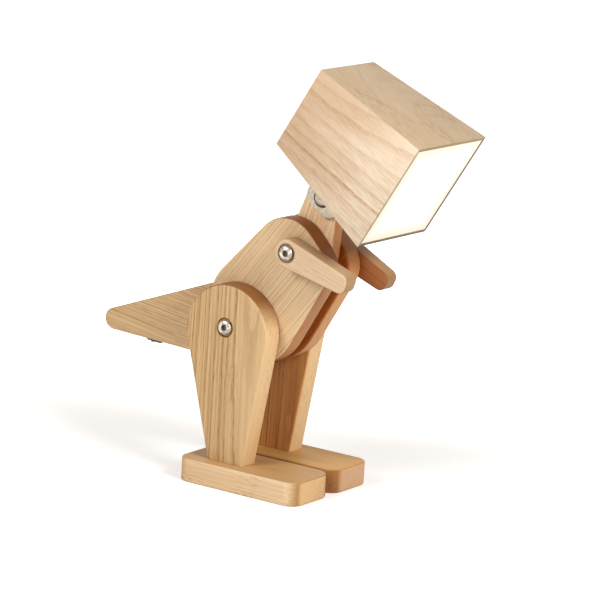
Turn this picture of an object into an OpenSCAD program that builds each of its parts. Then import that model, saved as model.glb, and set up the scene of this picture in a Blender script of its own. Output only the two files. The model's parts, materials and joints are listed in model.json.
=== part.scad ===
// Jointed wooden dinosaur table lamp: hardwood boards on cross bolts, with a tapered box shade.
// Millimetres. +X is the way the dinosaur looks, +Y is its left side and +Z is up.
// The origin lies on the ground, under the middle of the lamp's whole length.

/* [Feet] */
// Length of each foot
foot_length = 107; // [95:1:130]
// Width across both feet
feet_width = 99; // [90:1:120]
// Gap between the two feet
feet_gap = 3; // [1:0.5:6]
// Thickness of each foot
foot_t = 18; // [14:1:24]
// Radius of a foot's corners, seen from above
foot_corner_r = 11; // [5:1:18]
// How far the feet's middle lies ahead of the hip bolt
foot_lead = 23.8; // [10:0.1:32]

/* [Legs] */
// Height of the hip bolt above the ground
hip_z = 119; // [110:1:135]
// Radius of a leg's round top
leg_crown_r = 36; // [30:1:42]
// Drop of the round top's centre below the hip bolt
leg_crown_drop = 3.8; // [0:0.2:8]
// Lead of the round top's centre ahead of the hip bolt
leg_crown_lead = 1.4; // [-4:0.2:4]
// Width of a leg where it stands on its foot
leg_base_w = 31.4; // [26:0.2:40]
// Lead of the leg's base ahead of the hip bolt
leg_base_lead = 6.4; // [0:0.2:12]
// Thickness of a leg
leg_t = 17; // [14:0.5:22]

/* [Body] */
// Clear slot between the two side plates
slot_w = 12; // [11.6:0.1:14]
// Thickness of each side plate
plate_t = 15.5; // [12:0.5:20]
// Distance from the hip bolt to the shoulder bolt
torso_len = 78.5; // [74:0.5:95]
// Slope of the line from hip to shoulder, in degrees
torso_angle = 52.8; // [45:0.2:65]
// Radius of a plate's rump, its round lower end
plate_rump_r = 40; // [36:0.5:44]
// Distance of the rump's centre from the hip bolt, along the shoulder line
plate_rump_rise = 16.5; // [8:0.5:20]
// Distance of the rump's centre ahead of the shoulder line
plate_rump_lead = 1.9; // [0:0.1:4]
// Radius of a plate's upper back corner
plate_nape_r = 28; // [24:0.5:32]
// Distance of the upper back corner's centre short of the shoulder
plate_nape_drop = 10; // [6:0.5:14]
// Distance of the upper back corner's centre behind the shoulder line
plate_nape_set = 4.6; // [0:0.2:8]
// Radius of a plate's chest corner
plate_chest_r = 22.6; // [18:0.2:26]
// Distance of the chest corner's centre short of the shoulder
plate_chest_drop = 7; // [4:0.5:12]
// Distance of the chest corner's centre ahead of the shoulder line
plate_chest_lead = 12; // [6:0.5:16]

/* [Tail] */
// Distance from the hip bolt to the centre of the tail's round tip
tail_len = 129.7; // [115:0.1:150]
// Radius of the tail round the hip
tail_r = 34.5; // [32:0.5:38]
// Radius of the tail's tip
tail_tip_r = 8.3; // [6:0.1:12]
// Thickness of the tail
tail_t = 11; // [10.6:0.1:11.4]
// Droop of the tail below level, in degrees
tail_droop = 9.3; // [0:0.1:20]

/* [Arms] */
// Length of an arm from the shoulder bolt to its end
arm_len = 55; // [45:0.5:62]
// Width of an arm at its end
arm_w = 15; // [13:0.5:20]
// Thickness of an arm
arm_t = 13; // [11:0.5:17]
// Radius of an arm round the shoulder
arm_shoulder_r = 10.6; // [9:0.1:13]
// Radius of the corners at an arm's end
arm_tip_r = 6; // [4:0.5:7]
// Slope of the right arm below level, in degrees
right_arm_angle = 17; // [10:0.5:35]
// Slope of the left arm below level, in degrees
left_arm_angle = 24.5; // [10:0.5:35]

/* [Neck] */
// Distance from the shoulder bolt to the head bolt
neck_len = 40.4; // [40:0.2:50]
// Lean of the neck ahead of upright, in degrees
neck_lean = 15; // [5:0.1:30]
// Thickness of the neck
neck_t = 11; // [10.6:0.1:11.4]
// Radius of the neck round the shoulder
neck_shoulder_r = 20; // [17:0.5:22]
// Radius of the neck's back corner below the head
neck_crest_r = 13.5; // [11:0.1:14.5]
// Distance of the back corner's centre below the head bolt
neck_crest_drop = 5; // [4:0.2:12]
// Distance of the back corner's centre behind the neck's line
neck_crest_set = 2.2; // [0:0.1:6]
// Radius of the neck round the head bolt
neck_tip_r = 12; // [8:0.1:12.4]

/* [Head bracket] */
// Distance of the head bolt below the shade's floor
head_drop = 15.8; // [15.5:0.1:18]
// Reach of the bracket behind the head bolt
bracket_back = 13.5; // [12.5:0.5:18]
// Reach of the bracket ahead of the head bolt
bracket_front = 16; // [15.5:0.5:20]
// Reach of the bracket's cheeks below the head bolt
bracket_low = 10; // [9:0.2:14]
// Radius of the cheeks' lower corners
bracket_corner_r = 8.5; // [3:0.5:9]
// Thickness of the sheet that the bracket is bent from
bracket_t = 2.4; // [1.6:0.1:2.6]
// Radius inside the bracket's two bends
bracket_bend_r = 1; // [0.4:0.1:1.2]

/* [Shade] */
// Length of the shade from back to front
shade_len = 101.4; // [90:0.2:120]
// Width and height of the shade at its back
shade_back_w = 67.7; // [64:0.1:80]
// Width and height of the shade at its front
shade_front_w = 88.6; // [84:0.1:100]
// Pitch of the shade's axis, nose down, in degrees
shade_pitch = 30.9; // [15:0.1:45]
// Distance of the head bolt from the shade's back, along its axis
head_bolt_at = 41.8; // [40:0.2:50]
// Thickness of the shade's panels
wall_t = 4.5; // [3.5:0.1:6]
// Thickness of the shade's back panel
back_t = 5; // [4:0.5:7]
// Width of the wooden rim seen round the diffuser
rim_w = 2.6; // [1:0.1:3]
// Thickness of the diffuser
diffuser_t = 3; // [2:0.1:5]

/* [Light source] */
// Width and height of the circuit board that carries the light-emitting diodes
led_board_w = 50; // [48:1:54]
// Thickness of the circuit board
led_board_t = 1.6; // [1:0.1:2]
// Diodes along each side of the board
led_count = 4; // [2:1:5]
// Distance between diodes
led_pitch = 10; // [6:0.2:10]
// Width of a diode
led_w = 3.5; // [2.5:0.1:4]
// Height of a diode
led_t = 0.8; // [0.5:0.1:1.5]
// Height of the posts that hold the circuit board off the back panel
post_h = 18; // [17:0.5:22]
// Radius of a post
post_r = 2.5; // [2.2:0.1:2.8]
// Distance from the board's middle line to the posts
post_set = 20; // [19:0.5:21]
// Width of the driver
driver_w = 30; // [24:1:32]
// Height of the driver
driver_h = 24; // [18:1:26]
// Thickness of the driver
driver_t = 13; // [10:0.5:14]

/* [Switch and socket] */
// Distance of the switch from the hip, along the tail's underside
switch_at = 88; // [82:1:94]
// Length of the rocker
rocker_len = 8.6; // [7.5:0.1:9]
// Width of the rocker
rocker_w = 5; // [4.2:0.1:5.2]
// Height of the rocker's ends above its pin
rocker_rise = 3.2; // [2.8:0.1:3.6]
// Full swing of the rocker, in degrees
rocker_swing = 14; // [8:1:16]
// Depth of the switch body in the tail
switch_depth = 10; // [8:0.5:12]
// Thickness of the switch's bezel
bezel_t = 1; // [0.6:0.1:1.4]
// Distance of the power socket from the hip, along the tail's underside
socket_at = 58; // [50:1:66]
// Radius of the power socket's bore
socket_bore_r = 2.8; // [2.5:0.05:2.9]
// Radius of the power socket's centre pin
socket_pin_r = 1; // [0.6:0.05:1.2]
// Depth of the power socket
socket_depth = 14; // [12:0.5:18]

/* [Fasteners] */
// Radius of the hip and shoulder bolts
bolt_r = 3; // [2.5:0.1:3.5]
// Radius of the bolt heads
bolt_head_r = 5.6; // [5:0.1:6.5]
// Thickness of the bolt heads
bolt_head_t = 3; // [2.6:0.1:3.4]
// Width across the corners of the bolts' hex sockets
hex_socket_w = 4.8; // [3:0.1:5.5]
// Radius of the sleeve of each barrel nut
sleeve_r = 4.2; // [4:0.05:4.6]
// Depth of the recess that a bolt head sits in
recess_depth = 2; // [1.5:0.1:4]
// Clearance round a bolt head in its recess
recess_gap = 1.5; // [0.4:0.1:2]
// Thickness of the washer under a bolt head
head_washer_t = 0.8; // [0.5:0.1:1]
// Radius of the thin washers between boards
board_washer_r = 11; // [8:0.5:14]
// Thickness of the washers between a limb and a side plate
limb_washer_t = 0.4; // [0.3:0.1:1]
// Radius of the head bolt
head_bolt_r = 2.5; // [2:0.1:3]
// Thickness of the head bolt's domed head
dome_t = 3; // [2:0.1:4]
// Radius of the screws that hold the legs on the feet
foot_screw_r = 2; // [1.6:0.1:2.4]
// Length of the foot screws
foot_screw_len = 42; // [34:1:50]
// Distance between the two screws in a foot
foot_screw_pitch = 15; // [12:0.5:17]
// Radius of the bracket screws and the circuit board screws
small_screw_r = 1.5; // [1.2:0.1:1.7]
// Radius of the lead inside the lamp
lead_r = 1.8; // [1.4:0.1:2]

/* [Fits] */
// Eased edge of the boards
ease = 1.3; // [0.5:0.1:2]
// Running clearance of a bolt or pin in its bore, on the radius
run_gap = 0.05; // [0.02:0.01:0.1]
// Clearance of a piece set into a pocket
pocket_gap = 0.1; // [0.05:0.05:0.2]
// Clearance of the lead in its channel
lead_gap = 0.4; // [0.2:0.1:0.6]

/* [Hidden] */

// Sides of a board's round ends, of turned pieces and of the soft lead
board_sides = 48;
turned_sides = 64;
lead_sides = 8;
lead_rings = 10;
// Length added to a cutting tool so that it passes the face it cuts
past = 1;

// Colours of the finishes
ash = [0.84, 0.70, 0.51];
ash_pale = [0.90, 0.80, 0.66];
steel = [0.78, 0.77, 0.74];
fibre = [0.30, 0.26, 0.22];
black = [0.08, 0.08, 0.08];

// Layers of the lamp outwards from its middle plane
foot_w = (feet_width - feet_gap) / 2;
foot_y = (feet_gap + foot_w) / 2;
plate_in = slot_w / 2;
plate_out = plate_in + plate_t;
limb_in = plate_out + limb_washer_t;
leg_out = limb_in + leg_t;
arm_out = limb_in + arm_t;
leg_y = limb_in + leg_t / 2;
bore_r = bolt_r + run_gap;
recess_r = bolt_head_r + recess_gap;
head_washer_r = bolt_head_r + recess_gap / 2;
// A limb's washer stays inside the narrowest limb
limb_washer_r = min(board_washer_r, arm_shoulder_r - ease);

// Slope of the shade's panels, and the half width of the shade at a distance from its back
shade_taper = atan((shade_front_w - shade_back_w) / 2 / shade_len);
function half_w(u) = (shade_back_w + (shade_front_w - shade_back_w) * u / shade_len) / 2;
wall_inset = wall_t / cos(shade_taper);
// Height of the shade's axis above the head bolt, square to the axis
axis_up = half_w(head_bolt_at) + head_drop / cos(shade_taper);

// Reach of the lamp behind and ahead of the hip, which centres it on the origin
tail_reach = tail_len * cos(tail_droop) + tail_tip_r;
head_reach = torso_len * cos(torso_angle) + neck_len * sin(neck_lean)
    + (shade_len - head_bolt_at) * cos(shade_pitch) + (axis_up + shade_front_w / 2) * sin(shade_pitch);
hip_x = (tail_reach - head_reach) / 2;
shoulder_x = hip_x + torso_len * cos(torso_angle);
shoulder_z = hip_z + torso_len * sin(torso_angle);
head_x = shoulder_x + neck_len * sin(neck_lean);
head_z = shoulder_z + neck_len * cos(neck_lean);
feet_x = hip_x + foot_lead;

// The tail's underside makes this angle with the tail's middle line
tail_taper = asin((tail_r - tail_tip_r) / tail_len);

// Switch sizes that follow the rocker
rocker_side_gap = 0.3;
rocker_end_gap = 0.8;
rocker_pin_r = 0.9;
rocker_pin_bite = 0.45;
rocker_pin_z = 0.8;
rocker_crease = 0.6;
rocker_heel = 1.6;
rocker_belly = 1;
switch_wall = 0.75;
bezel_lip = 0.7;
cavity_len = rocker_len + 2 * rocker_end_gap;
cavity_w = rocker_w + 2 * rocker_side_gap;
body_len = cavity_len + 2 * switch_wall;
body_w = cavity_w + 2 * switch_wall;
cavity_depth = rocker_pin_z + rocker_heel + 2 * rocker_belly;

// Socket sizes that follow its bore
socket_wall = 0.9;
socket_lip = 0.5;
socket_lip_t = 1;
socket_floor = 4;
socket_pin_back = 1.5;
socket_r = socket_bore_r + socket_wall;

// Lead channels: the tail's one leaves the round end at this angle, the neck's one runs beside its line
channel_r = lead_r + lead_gap;
channel_exit = 60;
neck_channel_set = 9;
lead_stop = 2.5;
lead_bend = 8;
lead_end_gap = 0.4;
elbow_swell = 0.1;
lead_hole_x = -8;
lead_hole_gap = 0.5;

// Small fastener sizes
foot_screw_head_r = 4;
foot_screw_head_h = 2.4;
foot_screw_sink = 0.5;
small_head_r = 2.7;
small_head_h = 1.6;
bracket_screw_x = [0, 12];
hex_socket_depth = 2;
head_nut_t = 4;
head_nut_r = 4.8;
bolt_tip = 1;
dome_r = 6.4;
led_lead_r = 0.8;
led_lead_set = 4;
driver_rib = 2;
driver_groove = 1;

// Frames of the jointed pieces
module at_hip() translate([hip_x, 0, hip_z]) children();
module at_torso() at_hip() rotate([0, -torso_angle, 0]) children();
module at_shoulder() translate([shoulder_x, 0, shoulder_z]) children();
module at_arm(angle) at_shoulder() rotate([0, angle, 0]) children();
module at_neck() at_shoulder() rotate([0, neck_lean, 0]) children();
module at_tail() at_hip() rotate([0, -tail_droop, 0]) children();
// Tail frame turned so that the tail's underside is level, at tail_r below the hip
module at_tail_level() at_hip() rotate([0, tail_taper - tail_droop, 0]) children();
module at_underside(distance) at_tail_level() translate([-distance, 0, -tail_r]) children();
module at_head() translate([head_x, 0, head_z]) rotate([0, shade_pitch, 0]) children();
// Head frame turned so that the shade's floor is level, at head_drop above the head bolt
module at_floor() translate([head_x, 0, head_z]) rotate([0, shade_pitch + shade_taper, 0]) children();
// Head frame with its origin in the middle of the shade's back
module at_shade() at_head() translate([-head_bolt_at, 0, axis_up]) children();

module right_side() mirror([0, 1, 0]) children();
module both_sides() {
    children();
    right_side() children();
}

// Round bar along Y from y0 to y1
module y_bar(y0, y1, r) translate([0, y1, 0]) rotate([90, 0, 0])
    cylinder(h = y1 - y0, r = r, $fn = turned_sides);
module y_ring(y0, y1, r_out, r_in) difference() {
    y_bar(y0, y1, r_out);
    y_bar(y0 - past, y1 + past, r_in);
}
// Round bar between two points of the middle plane, given as [x, z]
module bar_between(a, b, r) translate([a[0], 0, a[1]])
    rotate([0, 90 - atan2(b[1] - a[1], b[0] - a[0]), 0])
        cylinder(h = norm(b - a), r = r, $fn = turned_sides);

// Ball where two bars meet in a bend, a little larger than the bars, at [x, z] of the middle plane
module lead_elbow(p, r) translate([p[0], 0, p[1]]) sphere(r = r + elbow_swell, $fn = turned_sides);

// Disc with eased edges, its axis along Z and its middle at the origin
module eased_disc(r, t) rotate_extrude($fn = board_sides)
    polygon([[0, -t / 2], [r - ease, -t / 2], [r, ease - t / 2],
        [r, t / 2 - ease], [r - ease, t / 2], [0, t / 2]]);
// The same disc with its axis along Y, at [x, z] of the middle plane
module board_disc(p, r, t) translate([p[0], 0, p[1]]) rotate([90, 0, 0]) eased_disc(r, t);

// Recess and bore for a cross bolt in a limb whose outer face is at y_out
module limb_bore(y_out, r) {
    y_bar(limb_in - past, y_out + past, r);
    y_bar(y_out - recess_depth, y_out + past, recess_r);
}

// Cross bolt: domed edge, hex socket and plain shank, head on the right side
module cross_bolt(y_out) color(steel) {
    seat = y_out - recess_depth + head_washer_t;
    difference() {
        union() {
            bolt_head(-seat - bolt_head_t, -seat);
            y_bar(-seat, y_out - recess_depth, bolt_r);
        }
        hex_socket(-seat - bolt_head_t);
    }
}
// Barrel nut: sleeve through the left limb, head like the bolt's
module barrel_nut(y_out) color(steel) {
    seat = y_out - recess_depth + head_washer_t;
    difference() {
        union() {
            right_side() bolt_head(-seat - bolt_head_t, -seat);
            y_bar(limb_in, seat, sleeve_r);
        }
        y_bar(limb_in - past, y_out - recess_depth, bore_r);
        right_side() hex_socket(-seat - bolt_head_t);
    }
}
// Head with a chamfered outer edge, its outer face at y0
module bolt_head(y0, y1) {
    edge = (y1 - y0) / 3;
    y_bar(y0 + edge, y1, bolt_head_r);
    translate([0, y0 + edge, 0]) rotate([90, 0, 0])
        cylinder(h = edge, r1 = bolt_head_r, r2 = bolt_head_r - edge, $fn = turned_sides);
}
module hex_socket(y0) translate([0, y0 + hex_socket_depth, 0]) rotate([90, 0, 0])
    cylinder(h = hex_socket_depth + past, r = hex_socket_w / 2, $fn = 6);
module head_washer_pair(y_out) {
    seat = y_out - recess_depth;
    y_ring(-seat - head_washer_t, -seat, head_washer_r, bore_r);
    y_ring(seat, seat + head_washer_t, head_washer_r, sleeve_r + run_gap);
}

// Feet and legs
module foot() color(ash) translate([feet_x, foot_y, foot_t / 2]) difference() {
    corner = [foot_length / 2 - foot_corner_r, foot_w / 2 - foot_corner_r];
    hull() for (sx = [-1, 1], sy = [-1, 1])
        translate([sx * corner[0], sy * corner[1], 0]) eased_disc(foot_corner_r, foot_t);
    translate([-feet_x, -foot_y, -foot_t / 2]) foot_screw_cuts();
}
module leg(r) color(ash) difference() {
    translate([0, leg_y, 0]) hull() {
        at_hip() board_disc([leg_crown_lead, -leg_crown_drop], leg_crown_r, leg_t);
        translate([hip_x + leg_base_lead, 0, foot_t]) linear_extrude(ease) leg_base();
    }
    at_hip() limb_bore(leg_out, r);
    foot_screw_cuts();
}
// Outline of a leg where it stands on its foot, with eased corners
module leg_base() {
    x = leg_base_w / 2;
    y = leg_t / 2;
    polygon([[-x, ease - y], [ease - x, -y], [x - ease, -y], [x, ease - y],
        [x, y - ease], [x - ease, y], [ease - x, y], [-x, y - ease]]);
}
module at_foot_screws() for (side = [-0.5, 0.5])
    translate([hip_x + leg_base_lead + side * foot_screw_pitch, leg_y, foot_screw_sink]) children();
// Countersunk screw, or the hole for one when gap is set
module foot_screw(gap) rotate_extrude($fn = turned_sides)
    polygon([[0, 0], [foot_screw_head_r + gap, 0], [foot_screw_r + gap, foot_screw_head_h],
        [foot_screw_r + gap, foot_screw_len + gap], [0, foot_screw_len + gap]]);
module foot_screw_cuts() at_foot_screws() {
    foot_screw(run_gap);
    translate([0, 0, -foot_screw_sink - past])
        cylinder(h = foot_screw_sink + past, r = foot_screw_head_r + run_gap, $fn = turned_sides);
}
module left_foot() foot();
module right_foot() right_side() foot();
module left_leg() leg(sleeve_r + run_gap);
module right_leg() right_side() leg(bore_r);
module left_foot_screws() color(steel) at_foot_screws() foot_screw(0);
module right_foot_screws() right_side() left_foot_screws();

// Body: two side plates held apart by the tail and the neck
module side_plate() color(ash) at_torso() difference() {
    translate([0, plate_in + plate_t / 2, 0]) hull() {
        board_disc([plate_rump_rise, -plate_rump_lead], plate_rump_r, plate_t);
        board_disc([torso_len - plate_nape_drop, plate_nape_set], plate_nape_r, plate_t);
        board_disc([torso_len - plate_chest_drop, -plate_chest_lead], plate_chest_r, plate_t);
    }
    for (x = [0, torso_len])
        translate([x, 0, 0]) y_bar(plate_in - past, plate_out + past, bore_r);
}
module left_side_plate() side_plate();
module right_side_plate() right_side() side_plate();
module hip_bolt() at_hip() cross_bolt(leg_out);
module hip_nut() at_hip() barrel_nut(leg_out);
module hip_head_washers() color(steel) at_hip() head_washer_pair(leg_out);
module hip_limb_washers() color(fibre) at_hip() limb_washers();
module shoulder_bolt() at_shoulder() cross_bolt(arm_out);
module shoulder_nut() at_shoulder() barrel_nut(arm_out);
module shoulder_head_washers() color(steel) at_shoulder() head_washer_pair(arm_out);
module shoulder_limb_washers() color(fibre) at_shoulder() limb_washers();
module limb_washers() both_sides() y_ring(plate_out, limb_in, limb_washer_r, bore_r);

// Tail with its switch and power socket
module tail() color(ash) difference() {
    at_tail() hull() {
        board_disc([0, 0], tail_r, tail_t);
        board_disc([-tail_len, 0], tail_tip_r, tail_t);
    }
    at_hip() y_bar(-tail_t, tail_t, bore_r);
    at_underside(switch_at) switch_pocket();
    at_underside(socket_at) socket_pocket();
    at_tail_level() {
        bar_between(switch_top, switch_turn, channel_r);
        lead_elbow(switch_turn, channel_r);
        bar_between(switch_turn, channel_end + channel_slope * lead_bend, channel_r);
        bar_between(socket_top, channel_above_socket, channel_r);
    }
}
// Points of the tail's channel in the tail's level frame, as [x, z]
switch_top = [-switch_at, switch_depth - tail_r];
switch_turn = switch_top + [0, 2 * channel_r];
channel_end = tail_r * [cos(channel_exit), sin(channel_exit)];
channel_slope = (channel_end - switch_turn) / norm(channel_end - switch_turn);
socket_top = [-socket_at, socket_depth - tail_r];
channel_above_socket = switch_turn + channel_slope * (switch_at - socket_at) / channel_slope[0];
module switch_pocket() {
    depth = switch_depth + pocket_gap;
    translate([0, 0, (depth - past) / 2])
        cube([body_len + 2 * pocket_gap, body_w + 2 * pocket_gap, depth + past], center = true);
}
module socket_pocket() {
    translate([0, 0, -past])
        cylinder(h = socket_depth + pocket_gap + past, r = socket_r + pocket_gap, $fn = turned_sides);
    translate([0, 0, -past])
        cylinder(h = socket_lip_t + past, r = socket_r + socket_lip + pocket_gap, $fn = turned_sides);
}
module tail_washers() color(fibre) at_hip() both_sides()
    y_ring(tail_t / 2, plate_in, board_washer_r, bore_r);
module switch_housing() color(black) at_underside(switch_at) difference() {
    union() {
        translate([0, 0, switch_depth / 2]) cube([body_len, body_w, switch_depth], center = true);
        translate([0, 0, -bezel_t / 2])
            cube([body_len + 2 * bezel_lip, body_w + 2 * bezel_lip, bezel_t], center = true);
    }
    translate([0, 0, (cavity_depth - bezel_t - past) / 2])
        cube([cavity_len, cavity_w, cavity_depth + bezel_t + past], center = true);
    translate([0, 0, rocker_pin_z]) y_bar(-pin_half - run_gap, pin_half + run_gap, rocker_pin_r + run_gap);
}
pin_half = cavity_w / 2 + rocker_pin_bite;
// The rocker rests with its end towards the tail's tip standing out
module switch_rocker() color([0.80, 0.80, 0.78]) at_underside(switch_at) translate([0, 0, rocker_pin_z])
    rotate([0, -rocker_swing / 2, 0]) {
        rotate([90, 0, 0]) linear_extrude(rocker_w, center = true) rocker_outline();
        y_bar(-pin_half, pin_half, rocker_pin_r);
    }
module rocker_outline() {
    x = rocker_len / 2;
    polygon([[-x, rocker_heel], [-x, -rocker_rise], [0, rocker_crease - rocker_rise], [x, -rocker_rise],
        [x, rocker_heel], [0, rocker_heel + rocker_belly]]);
}
module power_socket() color(black) at_underside(socket_at) rotate_extrude($fn = turned_sides)
    polygon([[0, socket_pin_back], [socket_pin_r, socket_pin_back],
        [socket_pin_r, socket_depth - socket_floor], [socket_bore_r, socket_depth - socket_floor],
        [socket_bore_r, 0], [socket_r + socket_lip, 0], [socket_r + socket_lip, socket_lip_t],
        [socket_r, socket_lip_t], [socket_r, socket_depth], [0, socket_depth]]);
module tail_lead() color(black) at_tail_level() {
    bar_between(switch_top + [0, pocket_gap], switch_turn, lead_r);
    lead_elbow(switch_turn, lead_r);
    bar_between(switch_turn, channel_end - channel_slope * lead_stop, lead_r);
    bar_between(socket_top + [0, pocket_gap], channel_above_socket, lead_r);
}

// Lead across the body's slot: a smooth curve from the tail's round end to the neck's round end
tail_side = channel_exit - tail_taper + tail_droop;
neck_side = atan2(-sqrt(neck_shoulder_r * neck_shoulder_r - neck_channel_set * neck_channel_set),
    -neck_channel_set) - neck_lean;
function polar(centre, r, angle) = centre + r * [cos(angle), sin(angle)];
function curve_point(p, s) = pow(1 - s, 3) * p[0] + 3 * s * pow(1 - s, 2) * p[1]
    + 3 * s * s * (1 - s) * p[2] + pow(s, 3) * p[3];
body_lead_points = [
    polar([hip_x, hip_z], tail_r + lead_end_gap, tail_side),
    polar([hip_x, hip_z], tail_r + lead_end_gap + lead_bend, tail_side),
    polar([shoulder_x, shoulder_z], neck_shoulder_r + lead_end_gap + lead_bend, neck_side),
    polar([shoulder_x, shoulder_z], neck_shoulder_r + lead_end_gap, neck_side)];
module body_lead() color(black) soft_lead(body_lead_points, lead_r);
// Tube along a curve of the middle plane, as rings of points joined by triangles
module soft_lead(p, r) {
    step = 1 / lead_rings;
    path = [for (i = [0:lead_rings]) curve_point(p, i * step)];
    way = [for (i = [0:lead_rings]) path[min(i + 1, lead_rings)] - path[max(i - 1, 0)]];
    ends = [for (i = [0:lead_rings])
        i == 0 ? p[1] - p[0] : i == lead_rings ? p[3] - p[2] : way[i]];
    points = [for (i = [0:lead_rings], k = [0:lead_sides - 1])
        let (t = ends[i] / norm(ends[i]), a = 360 * k / lead_sides, across = r * cos(a))
            [path[i][0] - t[1] * across, r * sin(a), path[i][1] + t[0] * across]];
    sides = [for (i = [0:lead_rings - 1], k = [0:lead_sides - 1])
        let (a = i * lead_sides + k, b = i * lead_sides + (k + 1) % lead_sides)
            each [[a, b, b + lead_sides], [a, b + lead_sides, a + lead_sides]]];
    caps = [[for (k = [lead_sides - 1:-1:0]) k],
        [for (k = [0:lead_sides - 1]) lead_rings * lead_sides + k]];
    polyhedron(points, concat(sides, caps));
}

// Arms
module arm(r, angle) color(ash_pale) at_arm(angle) difference() {
    translate([0, limb_in + arm_t / 2, 0]) hull() {
        board_disc([0, 0], arm_shoulder_r, arm_t);
        for (side = [-1, 1])
            board_disc([arm_len - arm_tip_r, side * (arm_w / 2 - arm_tip_r)], arm_tip_r, arm_t);
    }
    limb_bore(arm_out, r);
}
module left_arm() arm(sleeve_r + run_gap, left_arm_angle);
module right_arm() right_side() arm(bore_r, right_arm_angle);

// Neck
module neck() color(ash) at_neck() difference() {
    hull() {
        board_disc([0, 0], neck_shoulder_r, neck_t);
        board_disc([-neck_crest_set, neck_len - neck_crest_drop], neck_crest_r, neck_t);
        board_disc([0, neck_len], neck_tip_r, neck_t);
    }
    y_bar(-neck_t, neck_t, bore_r);
    translate([0, 0, neck_len]) y_bar(-neck_t, neck_t, head_bolt_r + run_gap);
    translate([-neck_channel_set, 0, -neck_shoulder_r])
        cylinder(h = neck_len + 2 * neck_shoulder_r, r = channel_r, $fn = turned_sides);
}
module neck_washers() color(fibre) at_shoulder() both_sides()
    y_ring(neck_t / 2, plate_in, board_washer_r, bore_r);
module neck_lead() color(black) at_neck()
    bar_between([-neck_channel_set, lead_stop - sqrt(pow(neck_shoulder_r, 2) - pow(neck_channel_set, 2))],
        [-neck_channel_set, neck_len], lead_r);

// Head bracket: one sheet bent to a U, with two cheeks and a plate under the shade
cheek_in = plate_in;
cheek_out = cheek_in + bracket_t;
module head_bracket() color(steel) at_floor() difference() {
    intersection() {
        rotate([90, 0, 0]) linear_extrude(2 * cheek_out + 2 * past, center = true) cheek_outline();
        translate([-bracket_back, 0, 0]) rotate([90, 0, 90])
            linear_extrude(bracket_back + bracket_front) bent_sheet();
    }
    y_bar(-cheek_out - past, cheek_out + past, head_bolt_r + run_gap);
    floor_holes();
}
// The bent sheet seen along the lamp: a filled arch less a smaller one
module bent_sheet() difference() {
    arch(cheek_out, head_drop, bracket_bend_r + bracket_t, bracket_low);
    arch(cheek_in, head_drop - bracket_t, bracket_bend_r, bracket_low + past);
}
// Arch from low below the head bolt to top above it, with two round shoulders
module arch(half, top, r, low) {
    translate([-half, -low]) square([2 * half, low + top - r]);
    translate([r - half, -low]) square([2 * (half - r), low + top]);
    for (side = [-1, 1])
        translate([side * (half - r), top - r]) circle(r = r, $fn = board_sides);
}
module cheek_outline() {
    length = bracket_back + bracket_front;
    for (x = [bracket_corner_r - bracket_back, bracket_front - bracket_corner_r])
        translate([x, bracket_corner_r - bracket_low]) circle(r = bracket_corner_r, $fn = board_sides);
    translate([bracket_corner_r - bracket_back, -bracket_low])
        square([length - 2 * bracket_corner_r, bracket_corner_r]);
    translate([-bracket_back, bracket_corner_r - bracket_low])
        square([length, head_drop + bracket_low - bracket_corner_r]);
}
// Holes through the shade's floor and the bracket's plate
module floor_holes() translate([0, 0, head_drop - bracket_t - past]) {
    depth = bracket_t + wall_t + 2 * past;
    for (x = bracket_screw_x)
        translate([x, 0, 0]) cylinder(h = depth, r = small_screw_r + run_gap, $fn = turned_sides);
    translate([lead_hole_x, 0, 0]) cylinder(h = depth, r = lead_r + lead_hole_gap, $fn = turned_sides);
}
module bracket_screws() color(steel) at_floor() for (x = bracket_screw_x)
    translate([x, 0, head_drop + wall_t]) {
        cylinder(h = small_head_h, r = small_head_r, $fn = turned_sides);
        translate([0, 0, -wall_t - bracket_t])
            cylinder(h = wall_t + bracket_t, r = small_screw_r, $fn = turned_sides);
    }
module head_bolt() color(steel) at_floor() difference() {
    union() {
        dome();
        y_bar(-cheek_out, cheek_out + head_nut_t + bolt_tip, head_bolt_r);
    }
    hex_socket(-cheek_out - dome_t);
}
// Domed bolt head outside the right cheek
module dome() translate([0, -cheek_out, 0]) rotate([90, 0, 0]) intersection() {
    curve_r = (dome_r * dome_r + dome_t * dome_t) / (2 * dome_t);
    cylinder(h = dome_t, r = dome_r, $fn = turned_sides);
    translate([0, 0, dome_t - curve_r]) sphere(r = curve_r, $fn = turned_sides);
}
module head_nut() color(steel) at_floor() difference() {
    translate([0, cheek_out + head_nut_t, 0]) rotate([90, 0, 0])
        cylinder(h = head_nut_t, r = head_nut_r, $fn = 6);
    y_bar(cheek_out - past, cheek_out + head_nut_t + past, head_bolt_r + run_gap);
}
module head_washers() color(fibre) at_floor() both_sides()
    y_ring(neck_t / 2, cheek_in, neck_tip_r - 2 * ease, head_bolt_r + run_gap);

// Shade: four mitred panels that widen to the front, a back panel and a diffuser in a rabbet
// Outline of a panel in the shade's side view: its taper, and the rabbet behind its rim
module panel_outline() {
    seat = shade_len - diffuser_t;
    polygon([[0, half_w(0)], [shade_len, half_w(shade_len)], [shade_len, half_w(shade_len) - rim_w],
        [seat, half_w(seat) - rim_w], [seat, half_w(seat) - wall_inset], [0, half_w(0) - wall_inset]]);
}
// Panel i of the shade, cut to its mitres: 0 top, 1 right, 2 bottom, 3 left
module wall(i) rotate([90 * i, 0, 0]) intersection() {
    rotate([90, 0, 0]) linear_extrude(2 * shade_front_w, center = true) panel_outline();
    rotate([90, 0, 90]) linear_extrude(shade_len)
        polygon([[0, 0], [shade_front_w, shade_front_w], [-shade_front_w, shade_front_w]]);
}
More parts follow.
